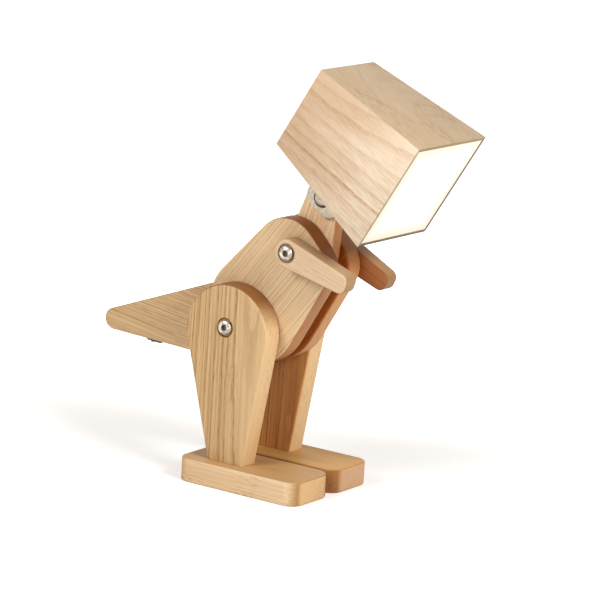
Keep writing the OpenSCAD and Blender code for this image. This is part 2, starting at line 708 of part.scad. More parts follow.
// Outline of what fills the shade's taper between two distances from its back
module taper_outline(u0, u1, inset) polygon([[u0, inset - half_w(u0)], [u1, inset - half_w(u1)],
    [u1, half_w(u1) - inset], [u0, half_w(u0) - inset]]);
module taper_block(u0, u1, inset) intersection() {
    rotate([90, 0, 0]) linear_extrude(shade_front_w, center = true) taper_outline(u0, u1, inset);
    linear_extrude(shade_front_w, center = true) taper_outline(u0, u1, inset);
}
module shade_panel(i) color(ash_pale) at_shade() wall(i);
module shade_top() shade_panel(0);
module shade_right() shade_panel(1);
module shade_left() shade_panel(3);
module shade_bottom() color(ash_pale) difference() {
    shade_panel(2);
    at_floor() floor_holes();
}
module shade_back() color(ash_pale) at_shade() taper_block(0, back_t, wall_inset + pocket_gap);
module diffuser() color("white") at_shade()
    taper_block(shade_len - diffuser_t, shade_len, rim_w + pocket_gap);

// Light source inside the shade
board_u = back_t + post_h;
module at_posts() at_shade() for (sy = [-1, 1], sz = [-1, 1])
    translate([0, sy * post_set, sz * post_set]) rotate([0, 90, 0]) children();
module led_board() color("white") difference() {
    at_shade() translate([board_u, -led_board_w / 2, -led_board_w / 2])
        cube([led_board_t, led_board_w, led_board_w]);
    at_posts() cylinder(h = board_u + led_board_t + past, r = small_screw_r + run_gap, $fn = turned_sides);
}
module led_chips() color([0.95, 0.85, 0.45]) at_shade()
    for (row = [0:led_count - 1], column = [0:led_count - 1])
        translate([board_u + led_board_t + led_t / 2, (row - (led_count - 1) / 2) * led_pitch,
            (column - (led_count - 1) / 2) * led_pitch])
                cube([led_t, led_w, led_w], center = true);
module led_posts() color("white") at_posts() translate([0, 0, back_t]) difference() {
    cylinder(h = post_h, r = post_r, $fn = turned_sides);
    translate([0, 0, post_h / 2]) cylinder(h = post_h, r = small_screw_r + run_gap, $fn = turned_sides);
}
module led_screws() color(steel) at_posts() translate([0, 0, board_u]) {
    translate([0, 0, led_board_t]) cylinder(h = small_head_h, r = small_head_r, $fn = turned_sides);
    translate([0, 0, -post_h / 3])
        cylinder(h = post_h / 3 + led_board_t, r = small_screw_r, $fn = turned_sides);
}
// Driver case with a shallow groove round its lower and upper ends
module led_driver() color("white") at_shade() translate([back_t + driver_t / 2, 0, 0]) difference() {
    cube([driver_t, driver_w, driver_h], center = true);
    for (side = [-0.5, 0.5]) translate([0, 0, side * driver_h])
        cube([driver_t - 2 * driver_rib, driver_w + 2 * past, 2 * driver_groove], center = true);
}
module led_leads() color([0.6, 0.1, 0.08]) at_shade() both_sides()
    translate([back_t + driver_t, led_lead_set, 0]) rotate([0, 90, 0])
        cylinder(h = board_u - back_t - driver_t, r = led_lead_r, $fn = turned_sides);
// Lead through the shade's floor, then back along the floor and up the back panel to the driver
floor_run_z = head_drop + wall_t + lead_gap + lead_r;
module head_lead() color(black) at_floor() {
    lead_corner = [lead_hole_x, floor_run_z];
    bar_between([lead_hole_x, head_drop - bracket_t], lead_corner, lead_r);
    lead_elbow(lead_corner, lead_r);
    bar_between(lead_corner, [lead_back_x, floor_run_z], lead_r);
    lead_elbow([lead_back_x, floor_run_z], lead_r);
    bar_between([lead_back_x, floor_run_z], driver_inlet, lead_r);
}
// The driver's lower face in the floor's frame, and where the lead turns up to it
inlet_u = back_t + driver_t / 2 - head_bolt_at;
inlet_w = axis_up - driver_h / 2;
driver_inlet = [inlet_u * cos(shade_taper) - inlet_w * sin(shade_taper),
    inlet_u * sin(shade_taper) + inlet_w * cos(shade_taper)];
lead_back_x = driver_inlet[0];

left_foot();
right_foot();
left_leg();
right_leg();
left_foot_screws();
right_foot_screws();
left_side_plate();
right_side_plate();
hip_bolt();
hip_nut();
hip_head_washers();
hip_limb_washers();
shoulder_bolt();
shoulder_nut();
shoulder_head_washers();
shoulder_limb_washers();
tail();
tail_washers();
switch_housing();
switch_rocker();
power_socket();
tail_lead();
body_lead();
left_arm();
right_arm();
neck();
neck_washers();
neck_lead();
head_bracket();
head_bolt();
head_nut();
head_washers();
bracket_screws();
shade_top();
shade_bottom();
shade_left();
shade_right();
shade_back();
diffuser();
led_board();
led_chips();
led_posts();
led_screws();
led_driver();
led_leads();
head_lead();
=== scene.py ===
# %% [markdown]
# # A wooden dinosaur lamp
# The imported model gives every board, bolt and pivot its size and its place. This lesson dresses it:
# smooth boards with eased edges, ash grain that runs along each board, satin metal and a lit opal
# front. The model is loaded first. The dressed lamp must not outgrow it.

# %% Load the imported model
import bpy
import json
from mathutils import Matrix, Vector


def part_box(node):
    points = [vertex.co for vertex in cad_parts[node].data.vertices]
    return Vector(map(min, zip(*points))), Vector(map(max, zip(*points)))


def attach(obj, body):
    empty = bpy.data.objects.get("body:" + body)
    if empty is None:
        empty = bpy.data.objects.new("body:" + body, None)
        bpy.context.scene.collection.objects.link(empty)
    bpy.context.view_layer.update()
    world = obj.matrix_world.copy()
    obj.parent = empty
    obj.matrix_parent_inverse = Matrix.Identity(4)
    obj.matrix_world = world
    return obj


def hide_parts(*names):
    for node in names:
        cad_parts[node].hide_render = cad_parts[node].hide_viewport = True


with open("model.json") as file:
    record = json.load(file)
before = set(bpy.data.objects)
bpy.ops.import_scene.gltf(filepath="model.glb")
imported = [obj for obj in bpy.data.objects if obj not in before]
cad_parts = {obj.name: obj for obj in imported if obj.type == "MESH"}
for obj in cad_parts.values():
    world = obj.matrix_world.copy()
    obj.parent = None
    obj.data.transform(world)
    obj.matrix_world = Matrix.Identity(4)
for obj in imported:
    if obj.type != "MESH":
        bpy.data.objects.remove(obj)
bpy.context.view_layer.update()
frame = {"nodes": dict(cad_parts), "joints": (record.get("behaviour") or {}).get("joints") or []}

import json
from math import acos, atan, atan2, ceil, cos, hypot, pi, radians, sin, sqrt

import bmesh
import bpy
from mathutils import Matrix, Vector
from mathutils.geometry import tessellate_polygon

MM = 0.001
pivots = {joint["name"]: Vector(joint["pos_m"]) / MM for joint in frame["joints"]}
HIP = pivots["left_hip"]
SHOULDER = pivots["neck_pivot"]
HEAD = pivots["head_tilt"]

# %% [markdown]
# ## Camera
# The picture was taken with a long lens from the lamp's right front, a little above it, and the
# camera leaned slightly. The angles below were fitted to the edges of the feet and to the height of
# the shade. A camera object could be aimed with a constraint, but a matrix made from three
# directions also holds the lean.

# %% Camera at the photographed angle
VIEW_AZIMUTH = 33.97
VIEW_ELEVATION = 12.25
VIEW_LEAN = 3.51
VIEW_DISTANCE = 2312.25
VIEW_TARGET_SIDE = 22.23
VIEW_TARGET_HEIGHT = 138.85
VIEW_TARGET_DEPTH = 6.63
LENS = 188.92
SENSOR = 36


def add_object(name, data):
    """A new object for a mesh, a light or a camera, linked to the scene."""
    thing = bpy.data.objects.new(name, data)
    bpy.context.collection.objects.link(thing)
    return thing


def add_camera():
    azimuth, elevation, lean = radians(VIEW_AZIMUTH), radians(VIEW_ELEVATION), radians(VIEW_LEAN)
    back = Vector((sin(azimuth) * cos(elevation), -cos(azimuth) * cos(elevation), sin(elevation)))
    level = Vector((cos(azimuth), sin(azimuth), 0))
    upright = back.cross(level)
    across = level * cos(lean) + upright * sin(lean)
    up = upright * cos(lean) - level * sin(lean)
    towards = Vector((sin(azimuth), -cos(azimuth), 0))
    target = level * VIEW_TARGET_SIDE + towards * VIEW_TARGET_DEPTH + Vector((0, 0, VIEW_TARGET_HEIGHT))
    camera = add_object("camera", bpy.data.cameras.new("camera"))
    camera.data.lens = LENS
    camera.data.sensor_width = SENSOR
    turn = Matrix((across, up, back)).transposed().to_4x4()
    camera.matrix_world = Matrix.Translation((target + back * VIEW_DISTANCE) * MM) @ turn
    bpy.context.scene.camera = camera
    return camera


print("camera at", [round(c, 3) for c in add_camera().location])

# %% [markdown]
# ## Stage
# A plain pale floor and big soft lights, as in a product studio. A bright backdrop could stand
# behind the lamp, but it would also light it. Here the white comes from the rays that reach the
# eye: they see the world and the floor glow, and the light that falls on the lamp doesn't. A shader
# is a tree of nodes, so the first helpers add a node with its values and links, and do sums with
# nodes.

# %% World
AMBIENT = 0.24
WARM_ROOM = (1.0, 0.88, 0.72, 1)
WHITE = (1, 1, 1, 1)


def add_node(tree, kind, inputs=None, **settings):
    """A node with its settings, and with a value or a link on each input, by name or number."""
    node = tree.nodes.new(kind)
    for name, value in settings.items():
        setattr(node, name, value)
    for name, value in (inputs or {}).items():
        if isinstance(value, bpy.types.NodeSocket):
            tree.links.new(value, node.inputs[name])
        else:
            node.inputs[name].default_value = value
    return node


def maths(tree, operation, *values):
    """The output of a Math node on numbers and sockets."""
    return add_node(tree, "ShaderNodeMath", dict(enumerate(values)), operation=operation).outputs[0]


def blend_colours(tree, share, first, second, mode="MIX"):
    """Two colours blended by a share from 0 to 1."""
    node = add_node(tree, "ShaderNodeMix", {0: share, 6: first, 7: second}, data_type="RGBA",
                    blend_type=mode)
    return node.outputs[2]


def seen_rays(tree):
    """1 for rays that reach the eye straight, by a reflection or through glass, and 0 for other light."""
    path = add_node(tree, "ShaderNodeLightPath").outputs
    mirrored_rays = maths(tree, "MAXIMUM", path["Is Glossy Ray"], path["Is Transmission Ray"])
    return maths(tree, "MAXIMUM", path["Is Camera Ray"], mirrored_rays)


def set_world():
    world = bpy.data.worlds.new("studio")
    bpy.context.scene.world = world
    world.use_nodes = True
    tree = world.node_tree
    tree.nodes.clear()
    seen = seen_rays(tree)
    strength = maths(tree, "MULTIPLY_ADD", maths(tree, "SUBTRACT", 1, seen), AMBIENT, seen)
    colour = blend_colours(tree, seen, WARM_ROOM, WHITE)
    sky = add_node(tree, "ShaderNodeBackground", {"Strength": strength, "Color": colour})
    add_node(tree, "ShaderNodeOutputWorld", {"Surface": sky.outputs[0]})


set_world()
bpy.context.scene.view_settings.view_transform = "Standard"
print("world lights the lamp at", AMBIENT)

# %% [markdown]
# The floor is one large square. It could curve up behind the lamp, as a paper roll does, but no
# horizon shows where all is white. Close to the lamp the floor glows less, so that the lamp's
# shadow shows there.

# %% Floor
FLOOR_SIZE = 12
FLOOR_PAINT = (0.8, 0.8, 0.8, 1)
FLOOR_GLOW = 0.4
FADE_FROM = 0.1
FADE_TO = 0.55


def measure(tree, operation, *values):
    """The number that a Vector Math node puts out, such as a length."""
    node = add_node(tree, "ShaderNodeVectorMath", dict(enumerate(values)), operation=operation)
    return node.outputs["Value"]


def empty_material(name):
    material = bpy.data.materials.new(name)
    material.use_nodes = True
    material.node_tree.nodes.clear()
    return material, material.node_tree


def show(tree, shader):
    """A shader on a material's output."""
    add_node(tree, "ShaderNodeOutputMaterial", {"Surface": shader.outputs[0]})


def add_floor():
    half = FLOOR_SIZE / 2
    corners = [(-half, -half, 0), (half, -half, 0), (half, half, 0), (-half, half, 0)]
    mesh = bpy.data.meshes.new("floor")
    mesh.from_pydata(corners, [], [(0, 1, 2, 3)])
    material, tree = empty_material("floor")
    away = measure(tree, "LENGTH", add_node(tree, "ShaderNodeTexCoord").outputs["Object"])
    white = add_node(tree, "ShaderNodeMapRange",
                     {"Value": away, "From Min": FADE_FROM, "From Max": FADE_TO, "To Min": FLOOR_GLOW,
                      "To Max": 1.0}, interpolation_type="SMOOTHSTEP").outputs[0]
    paint = add_node(tree, "ShaderNodeBsdfDiffuse", {"Color": FLOOR_PAINT})
    strength = maths(tree, "MULTIPLY", seen_rays(tree), white)
    glow = add_node(tree, "ShaderNodeEmission", {"Strength": strength})
    show(tree, add_node(tree, "ShaderNodeAddShader", {0: paint.outputs[0], 1: glow.outputs[0]}))
    mesh.materials.append(material)
    add_object("floor", mesh)


add_floor()
print("floor", FLOOR_SIZE, "m wide")

# %% [markdown]
# Two round lights, large and far off, soften the edges of the shadows. A sun lamp would light as
# evenly, but with hard shadows. Their power is worked out from the distance, so that a colour
# renders about as written.

# %% Lights
LIGHT_DISTANCE = 2.2
LIGHT_SIZE = 0.9
LIGHT_AIM = Vector((0, 0, 0.16))
SOFT_LIGHTS = {"soft_left": ((-0.28, -0.76, 0.58), 0.58), "soft_right": ((0.84, -0.22, 0.50), 0.85)}


def add_lights():
    """Round soft lights. A strength of 1 lights a surface that faces it so that it shows its own colour."""
    for name, (way, strength) in SOFT_LIGHTS.items():
        light = bpy.data.lights.new(name, "AREA")
        light.shape = "DISK"
        light.size = LIGHT_SIZE
        light.energy = strength * (pi * LIGHT_DISTANCE) ** 2
        lamp = add_object(name, light)
        lamp.location = Vector(way) * LIGHT_DISTANCE + LIGHT_AIM
        lamp.rotation_euler = Vector(way).to_track_quat("Z", "Y").to_euler()


add_lights()
print("soft lights", *SOFT_LIGHTS)

# %% [markdown]
# ## Ash grain
# A board is cut from a log, so its grain is where it meets the log's yearly rings. A flat wood
# picture would break at every edge. Rings that are worked out in space carry on round the edges and
# over the ends: one board cut close to the heart shows arches, another shows straight lines. First,
# the distance of each point from the heart of the log is counted in rings, and noise makes the
# rings waver.

# %% Rings of the log
WARP_STRETCH = (4.5, 16, 16)
WOBBLE_STRETCH = (45, 140, 140)
WOBBLE_SHARE = 0.18
RING_PACE = 0.31
RING_SPREAD = 1.6
ACROSS_GRAIN = (0, 1, 1)


def vectors(tree, operation, *values):
    """The vector output of a Vector Math node on vectors and sockets."""
    return add_node(tree, "ShaderNodeVectorMath", dict(enumerate(values)), operation=operation).outputs[0]


def scaled(tree, vector, amount):
    """A vector or a colour times a number."""
    return add_node(tree, "ShaderNodeVectorMath", {0: vector, 3: amount}, operation="SCALE").outputs[0]


def stretched_noise(tree, place, stretch, seed, detail=2.0, roughness=0.5):
    """Noise drawn out along the grain: a small number in stretch gives long features that way."""
    drawn = vectors(tree, "MULTIPLY", place, stretch)
    noise = add_node(tree, "ShaderNodeTexNoise", {"Vector": drawn, "W": seed, "Scale": 1.0, "Detail": detail,
                                                  "Roughness": roughness}, noise_dimensions="4D")
    return noise.outputs["Fac"]


def ring_count(group, entry):
    """How many rings lie between a point and the heart of the log, wavering and unevenly spread."""
    place, seed = entry["Place"], entry["Seed"]
    along = add_node(group, "ShaderNodeSeparateXYZ", {0: place}).outputs[0]
    from_heart = vectors(group, "ADD", vectors(group, "SUBTRACT", place, entry["Heart"]),
                         scaled(group, entry["Lean"], along))
    reach = measure(group, "LENGTH", vectors(group, "MULTIPLY", from_heart, ACROSS_GRAIN))
    waver = maths(group, "SUBTRACT", stretched_noise(group, place, WARP_STRETCH, seed, 2.5), 0.5)
    wobble = maths(group, "SUBTRACT", stretched_noise(group, place, WOBBLE_STRETCH, seed, 1.0), 0.5)
    waver = maths(group, "MULTIPLY_ADD", wobble, WOBBLE_SHARE, waver)
    rings = maths(group, "MULTIPLY_ADD", waver, entry["Warp"], reach)
    rings = maths(group, "DIVIDE", rings, entry["Ring Width"])
    pace = maths(group, "MULTIPLY_ADD", rings, RING_PACE, seed)
    spread = add_node(group, "ShaderNodeTexNoise", {"W": pace, "Scale": 1.0, "Detail": 1.0},
                      noise_dimensions="1D").outputs["Fac"]
    return maths(group, "MULTIPLY_ADD", spread, RING_SPREAD, rings)


print("rings waver about every", round(1 / WARP_STRETCH[0] / MM), "mm along the grain")

# %% [markdown]
# Each ring starts with a dark line of early wood and pales from there. Lines of one strength would
# look printed, so each ring has a strength of its own, and pores break the lines up.

# %% Yearly lines
RING_RAMP = ((0.0, 0.15), (0.04, 1.0), (0.18, 0.8), (0.4, 0.15), (0.92, 0.0), (1.0, 0.15))
FAINTEST_RING = 0.3
PORE_STRETCH = (110, 1400, 1400)
PORE_RAMP = ((0.42, 0.0), (0.6, 1.0))
PORE_SHARE = 0.5


def ramp(tree, value, stops):
    """A colour ramp of greys at the given stops, as a value."""
    node = add_node(tree, "ShaderNodeValToRGB", {"Fac": value})
    marks = node.color_ramp.elements
    while len(marks) < len(stops):
        marks.new(0.5)
    for mark, (at, grey) in zip(marks, stops):
        mark.position = at
        mark.color = (grey, grey, grey, 1)
    return node.outputs["Color"]


def yearly_lines(group, entry):
    """Dark early wood of each yearly ring, 0 to 1, broken up by pores."""
    rings = ring_count(group, entry)
    number = maths(group, "ADD", maths(group, "FLOOR", rings), entry["Seed"])
    each = add_node(group, "ShaderNodeTexWhiteNoise", {"W": number}, noise_dimensions="1D").outputs["Value"]
    each = maths(group, "MULTIPLY_ADD", each, 1 - FAINTEST_RING, FAINTEST_RING)
    early = maths(group, "MULTIPLY", ramp(group, maths(group, "FRACT", rings), RING_RAMP), each)
    pores = stretched_noise(group, entry["Place"], PORE_STRETCH, entry["Seed"], 1.0)
    pores = maths(group, "MULTIPLY_ADD", ramp(group, pores, PORE_RAMP), PORE_SHARE, 1 - PORE_SHARE)
    return maths(group, "MULTIPLY", early, pores)


print("a ring is drawn with", len(RING_RAMP), "stops")

# %% [markdown]
# Between the rings the wood isn't one colour. Pale and deep clouds run along the board, with long
# streaks and short flecks. One noise would make them all alike, so each kind has a noise of its
# own.

# %% Wood between the lines
CLOUD_STRETCH = (9, 45, 45)
CLOUD_RAMP = ((0.3, 0.0), (0.7, 1.0))
STREAK_STRETCH = (7, 800, 800)
STREAK_RAMP = ((0.38, 0.0), (0.7, 1.0))
PATCH_STRETCH = (22, 40, 40)
PATCH_RAMP = ((0.44, 0.0), (0.62, 1.0))
FLECK_STRETCH = (130, 800, 800)
FLECK_RAMP = ((0.52, 0.0), (0.62, 1.0))


def wood_between(group, entry, calm):
    """Pale and deep clouds, with streaks and flecks of the line's tone. Calm thins the streaks."""
    place, seed = entry["Place"], entry["Seed"]
    clouds = stretched_noise(group, place, CLOUD_STRETCH, seed, 2.0)
    clouds = maths(group, "ADD", clouds, measure(group, "DOT_PRODUCT", place, entry["Drift"]))
    wood = blend_colours(group, ramp(group, clouds, CLOUD_RAMP), entry["Pale"], entry["Deep"])
    streaks = ramp(group, stretched_noise(group, place, STREAK_STRETCH, seed, 2.0, 0.6), STREAK_RAMP)
    streaks = maths(group, "MULTIPLY", streaks, maths(group, "MULTIPLY", calm, entry["Streaks"]))
    wood = blend_colours(group, streaks, wood, entry["Line"])
    patch = ramp(group, stretched_noise(group, place, PATCH_STRETCH, seed, 1.0), PATCH_RAMP)
    fleck = ramp(group, stretched_noise(group, place, FLECK_STRETCH, seed, 2.0), FLECK_RAMP)
    flecked = maths(group, "MULTIPLY", maths(group, "MULTIPLY", patch, fleck), entry["Flecks"])
    return blend_colours(group, flecked, wood, entry["Line"])


print("streaks are", round(STREAK_STRETCH[1] / STREAK_STRETCH[0]), "times as long as wide")

# %% [markdown]
# One group puts the two together for every board. The ends of a board drink in more oil than its
# faces. Its narrow edges take painted light and shade, lighter or darker board by board, and its
# inner side takes painted shade, so the group also asks which way the surface faces.

# %% A node group for ash
EDGE_RAMP = ((0.5, 1.0), (0.9, 0.0))
EDGE_CALM = 0.65
LEAST_LINES = 0.55
LEAST_STREAKS = 0.15
END_RAMP = ((0.2, 0.0), (0.75, 1.0))
FACE_RAMP = ((0.9, 0.0), (0.99, 1.0))
INNER_RAMP = ((0.0, 0.0), (0.8, 1.0))
WOOD_DULL = 0.46
LINE_DULL = 0.12
GREY = (0.5, 0.5, 0.5, 1)
GRAIN_VECTORS = ("Place", "Facing", "Heart", "Lean", "Drift", "Fade")
GRAIN_NUMBERS = ("Ring Width", "Warp", "Seed", "Line Strength", "Streaks", "Flecks", "Inner Side", "Edges")
GRAIN_TONES = ("Pale", "Deep", "Line", "End Tone", "Face Tone", "Edge Light And Shade", "Shade Tone")


def new_group(name, inputs):
    """A shader group with named inputs, name to (kind, default), that puts out a finish."""
    group = bpy.data.node_groups.new(name, "ShaderNodeTree")
    for label, (kind, value) in inputs.items():
        socket = group.interface.new_socket(label, in_out="INPUT", socket_type="NodeSocket" + kind)
        socket.default_value = value
    for label, kind in (("Color", "Color"), ("Roughness", "Float"), ("Height", "Float")):
        group.interface.new_socket(label, in_out="OUTPUT", socket_type="NodeSocket" + kind)
    return group, group.nodes.new("NodeGroupInput").outputs


def put_out(group, colour, roughness, height):
    """The three values of a finish on a group's output."""
    add_node(group, "NodeGroupOutput", {"Color": colour, "Roughness": roughness, "Height": height})


def toned(group, wood, mask, tone):
    """The wood times a tone where the mask is 1, and as it was where the mask is 0."""
    return blend_colours(group, 1.0, wood, blend_colours(group, mask, WHITE, tone), "MULTIPLY")


def ash_group():
    inputs = {name: ("Vector", (0, 0, 0)) for name in GRAIN_VECTORS}
    inputs |= {name: ("Float", 0.0) for name in GRAIN_NUMBERS}
    inputs |= {name: ("Color", GREY) for name in GRAIN_TONES}
    group, entry = new_group("ash_grain", inputs)
    ways = add_node(group, "ShaderNodeSeparateXYZ", {0: entry["Facing"]}).outputs
    endways, sideways = maths(group, "ABSOLUTE", ways[0]), maths(group, "ABSOLUTE", ways[1])
    edges = maths(group, "MULTIPLY", ramp(group, sideways, EDGE_RAMP), entry["Edges"])
    calm = maths(group, "SUBTRACT", 1.0, maths(group, "MULTIPLY", edges, EDGE_CALM))
    # Fade points to where the grain is dense: streaks and lines thin out the other way, and on the edges
    fade = maths(group, "ADD", measure(group, "DOT_PRODUCT", entry["Place"], entry["Fade"]), 1.0)
    fade = maths(group, "MINIMUM", fade, 1.0)
    streak_share = maths(group, "MULTIPLY", maths(group, "MAXIMUM", fade, LEAST_STREAKS), calm)
    line_share = maths(group, "MULTIPLY", maths(group, "MAXIMUM", fade, LEAST_LINES), calm)
    wood = wood_between(group, entry, streak_share)
    early = maths(group, "MULTIPLY", yearly_lines(group, entry), line_share)
    lines = maths(group, "MULTIPLY", early, entry["Line Strength"])
    wood = blend_colours(group, lines, wood, entry["Line"])
    square_on = ramp(group, endways, FACE_RAMP)
    end_tone = blend_colours(group, square_on, entry["End Tone"], entry["Face Tone"])
    wood = toned(group, wood, ramp(group, endways, END_RAMP), end_tone)
    # Painted light and shade on the narrow edges: lighter on the legs, darker on the other boards
    wood = toned(group, wood, edges, entry["Edge Light And Shade"])
    # Painted shade on the inner side of a board, which faces its neighbour
    inner = ramp(group, maths(group, "MULTIPLY", ways[1], entry["Inner Side"]), INNER_RAMP)
    wood = toned(group, wood, inner, entry["Shade Tone"])
    put_out(group, wood, maths(group, "MULTIPLY_ADD", early, LINE_DULL, WOOD_DULL),
            maths(group, "SUBTRACT", 1.0, early))
    return group


ASH = ash_group()
print("grain group has", len(ASH.nodes), "nodes")

# %% [markdown]
# Each board places that group in a material of its own, with its own tones and its own cut from the
# log. The grain reads Object coordinates from the board's frame, so it stays put when the board
# moves.

# %% Ash for one board
WOOD_DENT = (0.25, 0.00025)
WOOD_GLOSS = {"Specular IOR Level": 0.2}
END_TONE = (0.46, 0.31, 0.19, 1)
# Painted shade, warm like light bounced between the boards, on a leg's inner side
SHADE_TONE = (0.93, 0.62, 0.37, 1)


def srgb(red, green, blue):
    """A colour as an eye reads it, 0 to 255, in the linear numbers that a shader wants."""
    def linear(channel):
        share = channel / 255
        return share / 12.92 if share <= 0.04045 else ((share + 0.055) / 1.055) ** 2.4
    return (linear(red), linear(green), linear(blue), 1)


def from_frame(tree, kind, place):
    """Object coordinates, or the surface's normal, as a piece's own frame reads them."""
    spot, turn, _ = place.decompose()
    values = {"Vector": add_node(tree, "ShaderNodeTexCoord").outputs[kind], "Rotation": turn.to_euler()}
    if kind == "Object":
        values["Location"] = spot * MM
    return add_node(tree, "ShaderNodeMapping", values, vector_type="TEXTURE").outputs[0]


def finish_with(tree, group, values, dent, gloss):
    """A Principled shader fed by a finish group: dent is the bump's strength and depth in metres."""
    finish = add_node(tree, "ShaderNodeGroup", values, node_tree=group).outputs
    bump = add_node(tree, "ShaderNodeBump",
                    {"Strength": dent[0], "Distance": dent[1], "Height": finish["Height"]})
    show(tree, add_node(tree, "ShaderNodeBsdfPrincipled",
                        {"Base Color": finish["Color"], "Roughness": finish["Roughness"],
                         "Normal": bump.outputs[0]} | gloss))


def ash(name, place, pale, deep, line, heart, lean=(0, 0, 0), drift=(0, 0, 0), fade=(0, 0, 0), ring=4.0,
        warp=6.0, lines=0.6, streaks=0.25, flecks=0.2, inner=0.0, edges=0.0, ends=END_TONE, face=None,
        edge=WHITE, shade=SHADE_TONE, seed=0.0):
    """Ash for one board: place is its frame with X along the grain, and sizes are in millimetres."""
    material, tree = empty_material(name)
    values = {"Place": from_frame(tree, "Object", place), "Facing": from_frame(tree, "Normal", place),
              "Heart": Vector(heart) * MM, "Lean": lean, "Drift": drift, "Fade": fade,
              "Ring Width": ring * MM, "Warp": warp * MM, "Seed": seed, "Line Strength": lines,
              "Streaks": streaks, "Flecks": flecks, "Inner Side": inner, "Edges": edges,
              "Pale": srgb(*pale), "Deep": srgb(*deep), "Line": srgb(*line), "End Tone": ends,
              "Face Tone": face or ends, "Edge Light And Shade": edge, "Shade Tone": shade}
    finish_with(tree, ASH, values, WOOD_DENT, WOOD_GLOSS)
    return material


print("a board sets up to", len(GRAIN_VECTORS + GRAIN_NUMBERS + GRAIN_TONES), "values")

# %% [markdown]
# ## Boards
# Legs, plates, tail, arms, neck and feet are flat boards, sawn to an outline and sanded until their
# edges are soft. The outline of each is a band pulled tight round a few discs, so it is worked out
# from the discs' tangents. It could be drawn by hand, but discs keep every curve round and every
# straight run straight.

# %% Outline of a board
LEAST_ARC_STEPS = 2
ARC_STEPS = 3
HOLE_SIDES = 48
FULL_TURN = [2 * pi * k / HOLE_SIDES for k in range(HOLE_SIDES)]


def tangent_turn(first, second):
    """Angle of the outward normal on the straight run from one disc to the next, going anticlockwise."""
    dx, dz = second[0] - first[0], second[1] - first[1]
    return atan2(dz, dx) - acos((first[2] - second[2]) / hypot(dx, dz))


def outline(discs):
    """Points and outward normals, anticlockwise, of a band pulled tight round discs (x, z, radius)."""
    run = []
    for i, disc in enumerate(discs):
        start = tangent_turn(discs[i - 1], disc)
        sweep = (tangent_turn(disc, discs[(i + 1) % len(discs)]) - start) % (2 * pi)
        steps = ceil(sweep * (LEAST_ARC_STEPS + ARC_STEPS * sqrt(disc[2])))
        for k in range(steps + 1):
            turn = start + sweep * k / steps
            normal = Vector((cos(turn), sin(turn)))
            run.append((Vector(disc[:2]) + normal * disc[2], normal))
    return run


def circle(spot, radius, y):
    """Points on a circle about the Y axis, round a spot (x, z)."""
    return [Vector((spot[0] + radius * cos(t), y, spot[1] + radius * sin(t))) for t in FULL_TURN]


print("a hole has", len(circle((0, 0), 1, 0)), "points round it")

# %% [markdown]
# A modifier could bevel a plain extrusion of that outline. Rings drawn from the outline's own
# normals give an even edge round every curve. A hole is a wall between circles, with both mouths
# broken as by sandpaper. A narrow ring inside each edge keeps the flat part of a face flat in the
# light.

# %% Edges and holes
EDGE_STEPS = 5
FACE_RING = 0.35
HOLE_EASE = 0.35


def join_rings(bm, rings):
    """Walls between rings of equal length, each a list of vertices."""
    for lower, upper in zip(rings, rings[1:]):
        for i in range(len(lower)):
            bm.faces.new((lower[i - 1], lower[i], upper[i], upper[i - 1]))


def eased_edge(bm, run, half, ease):
    """The edge of a board as rings from face to face, rounded towards both."""
    quarter = [pi / 2 * k / EDGE_STEPS for k in range(EDGE_STEPS + 1)]
    profile = [(ease + FACE_RING, half)]
    profile += [(ease * (1 - sin(a)), half - ease * (1 - cos(a))) for a in quarter]
    profile += [(inset, -y) for inset, y in reversed(profile)]
    rings = [[bm.verts.new((p.x - n.x * inset, y, p.y - n.y * inset)) for p, n in run]
             for inset, y in profile]
    join_rings(bm, rings)
    return rings


def eased_hole(bm, spot, steps):
    """The wall of a hole as rings from face to face: steps are (radius, y), and both mouths are broken."""
    (first, top), (last, low) = steps[0], steps[-1]
    eased = [(first + HOLE_EASE + FACE_RING, top), (first + HOLE_EASE, top), (first, top - HOLE_EASE)]
    eased += steps[1:-1]
    eased += [(last, low + HOLE_EASE), (last + HOLE_EASE, low), (last + HOLE_EASE + FACE_RING, low)]
    rings = [[bm.verts.new(c) for c in circle(spot, radius, y)] for radius, y in eased]
    join_rings(bm, rings)
    return rings


print("each edge is eased in", EDGE_STEPS, "steps")

# %% [markdown]
# The two faces of a board are filled with triangles between its edge and its holes. A finished
# piece is a mesh at the origin, with its place in its vertices, so that a pattern on Object
# coordinates can't slide.

# %% Mesh of a board
SHARP_ANGLE = 40


def smooth(mesh, sharp=SHARP_ANGLE):
    """Smooth shading that stops at sharp edges."""
    mesh.shade_smooth()
    mesh.set_sharp_from_angle(angle=radians(sharp))


def mesh_from(bm, name):
    """The bmesh as a mesh, with every face outwards."""
    bmesh.ops.recalc_face_normals(bm, faces=bm.faces)
    mesh = bpy.data.meshes.new(name)
    bm.to_mesh(mesh)
    bm.free()
    return mesh


def finish_mesh(bm, name, place, material, sharp=SHARP_ANGLE):
    """The bmesh as a plain mesh object at the origin, with its place in its vertices."""
    bmesh.ops.transform(bm, matrix=Matrix.Scale(MM, 4) @ place, verts=bm.verts)
    mesh = mesh_from(bm, name)
    smooth(mesh, sharp)
    mesh.materials.append(material)
    return add_object(name, mesh)


def board(name, discs, thickness, ease, place, material, holes=()):
    """A board with eased edges round an outline, and with holes (spot, [(radius, y), ...])."""
    bm = bmesh.new()
    walls = [eased_edge(bm, outline(discs), thickness / 2, ease)]
    walls += [eased_hole(bm, spot, steps) for spot, steps in holes]
    for end in (0, -1):
        loops = [wall[end] for wall in walls]
        flat = [vert for loop in loops for vert in loop]
        for triangle in tessellate_polygon([[vert.co.xzy for vert in loop] for loop in loops]):
            bm.faces.new([flat[i] for i in triangle])
    return finish_mesh(bm, name, place, material)


print("smooth shading stops at edges over", SHARP_ANGLE, "degrees")

# %% [markdown]
# Pockets and screw holes that don't go straight through are cut with solids, as a router would.
# They could be left out where they hardly show, but the pieces that sit in them would then stand
# inside the wood.

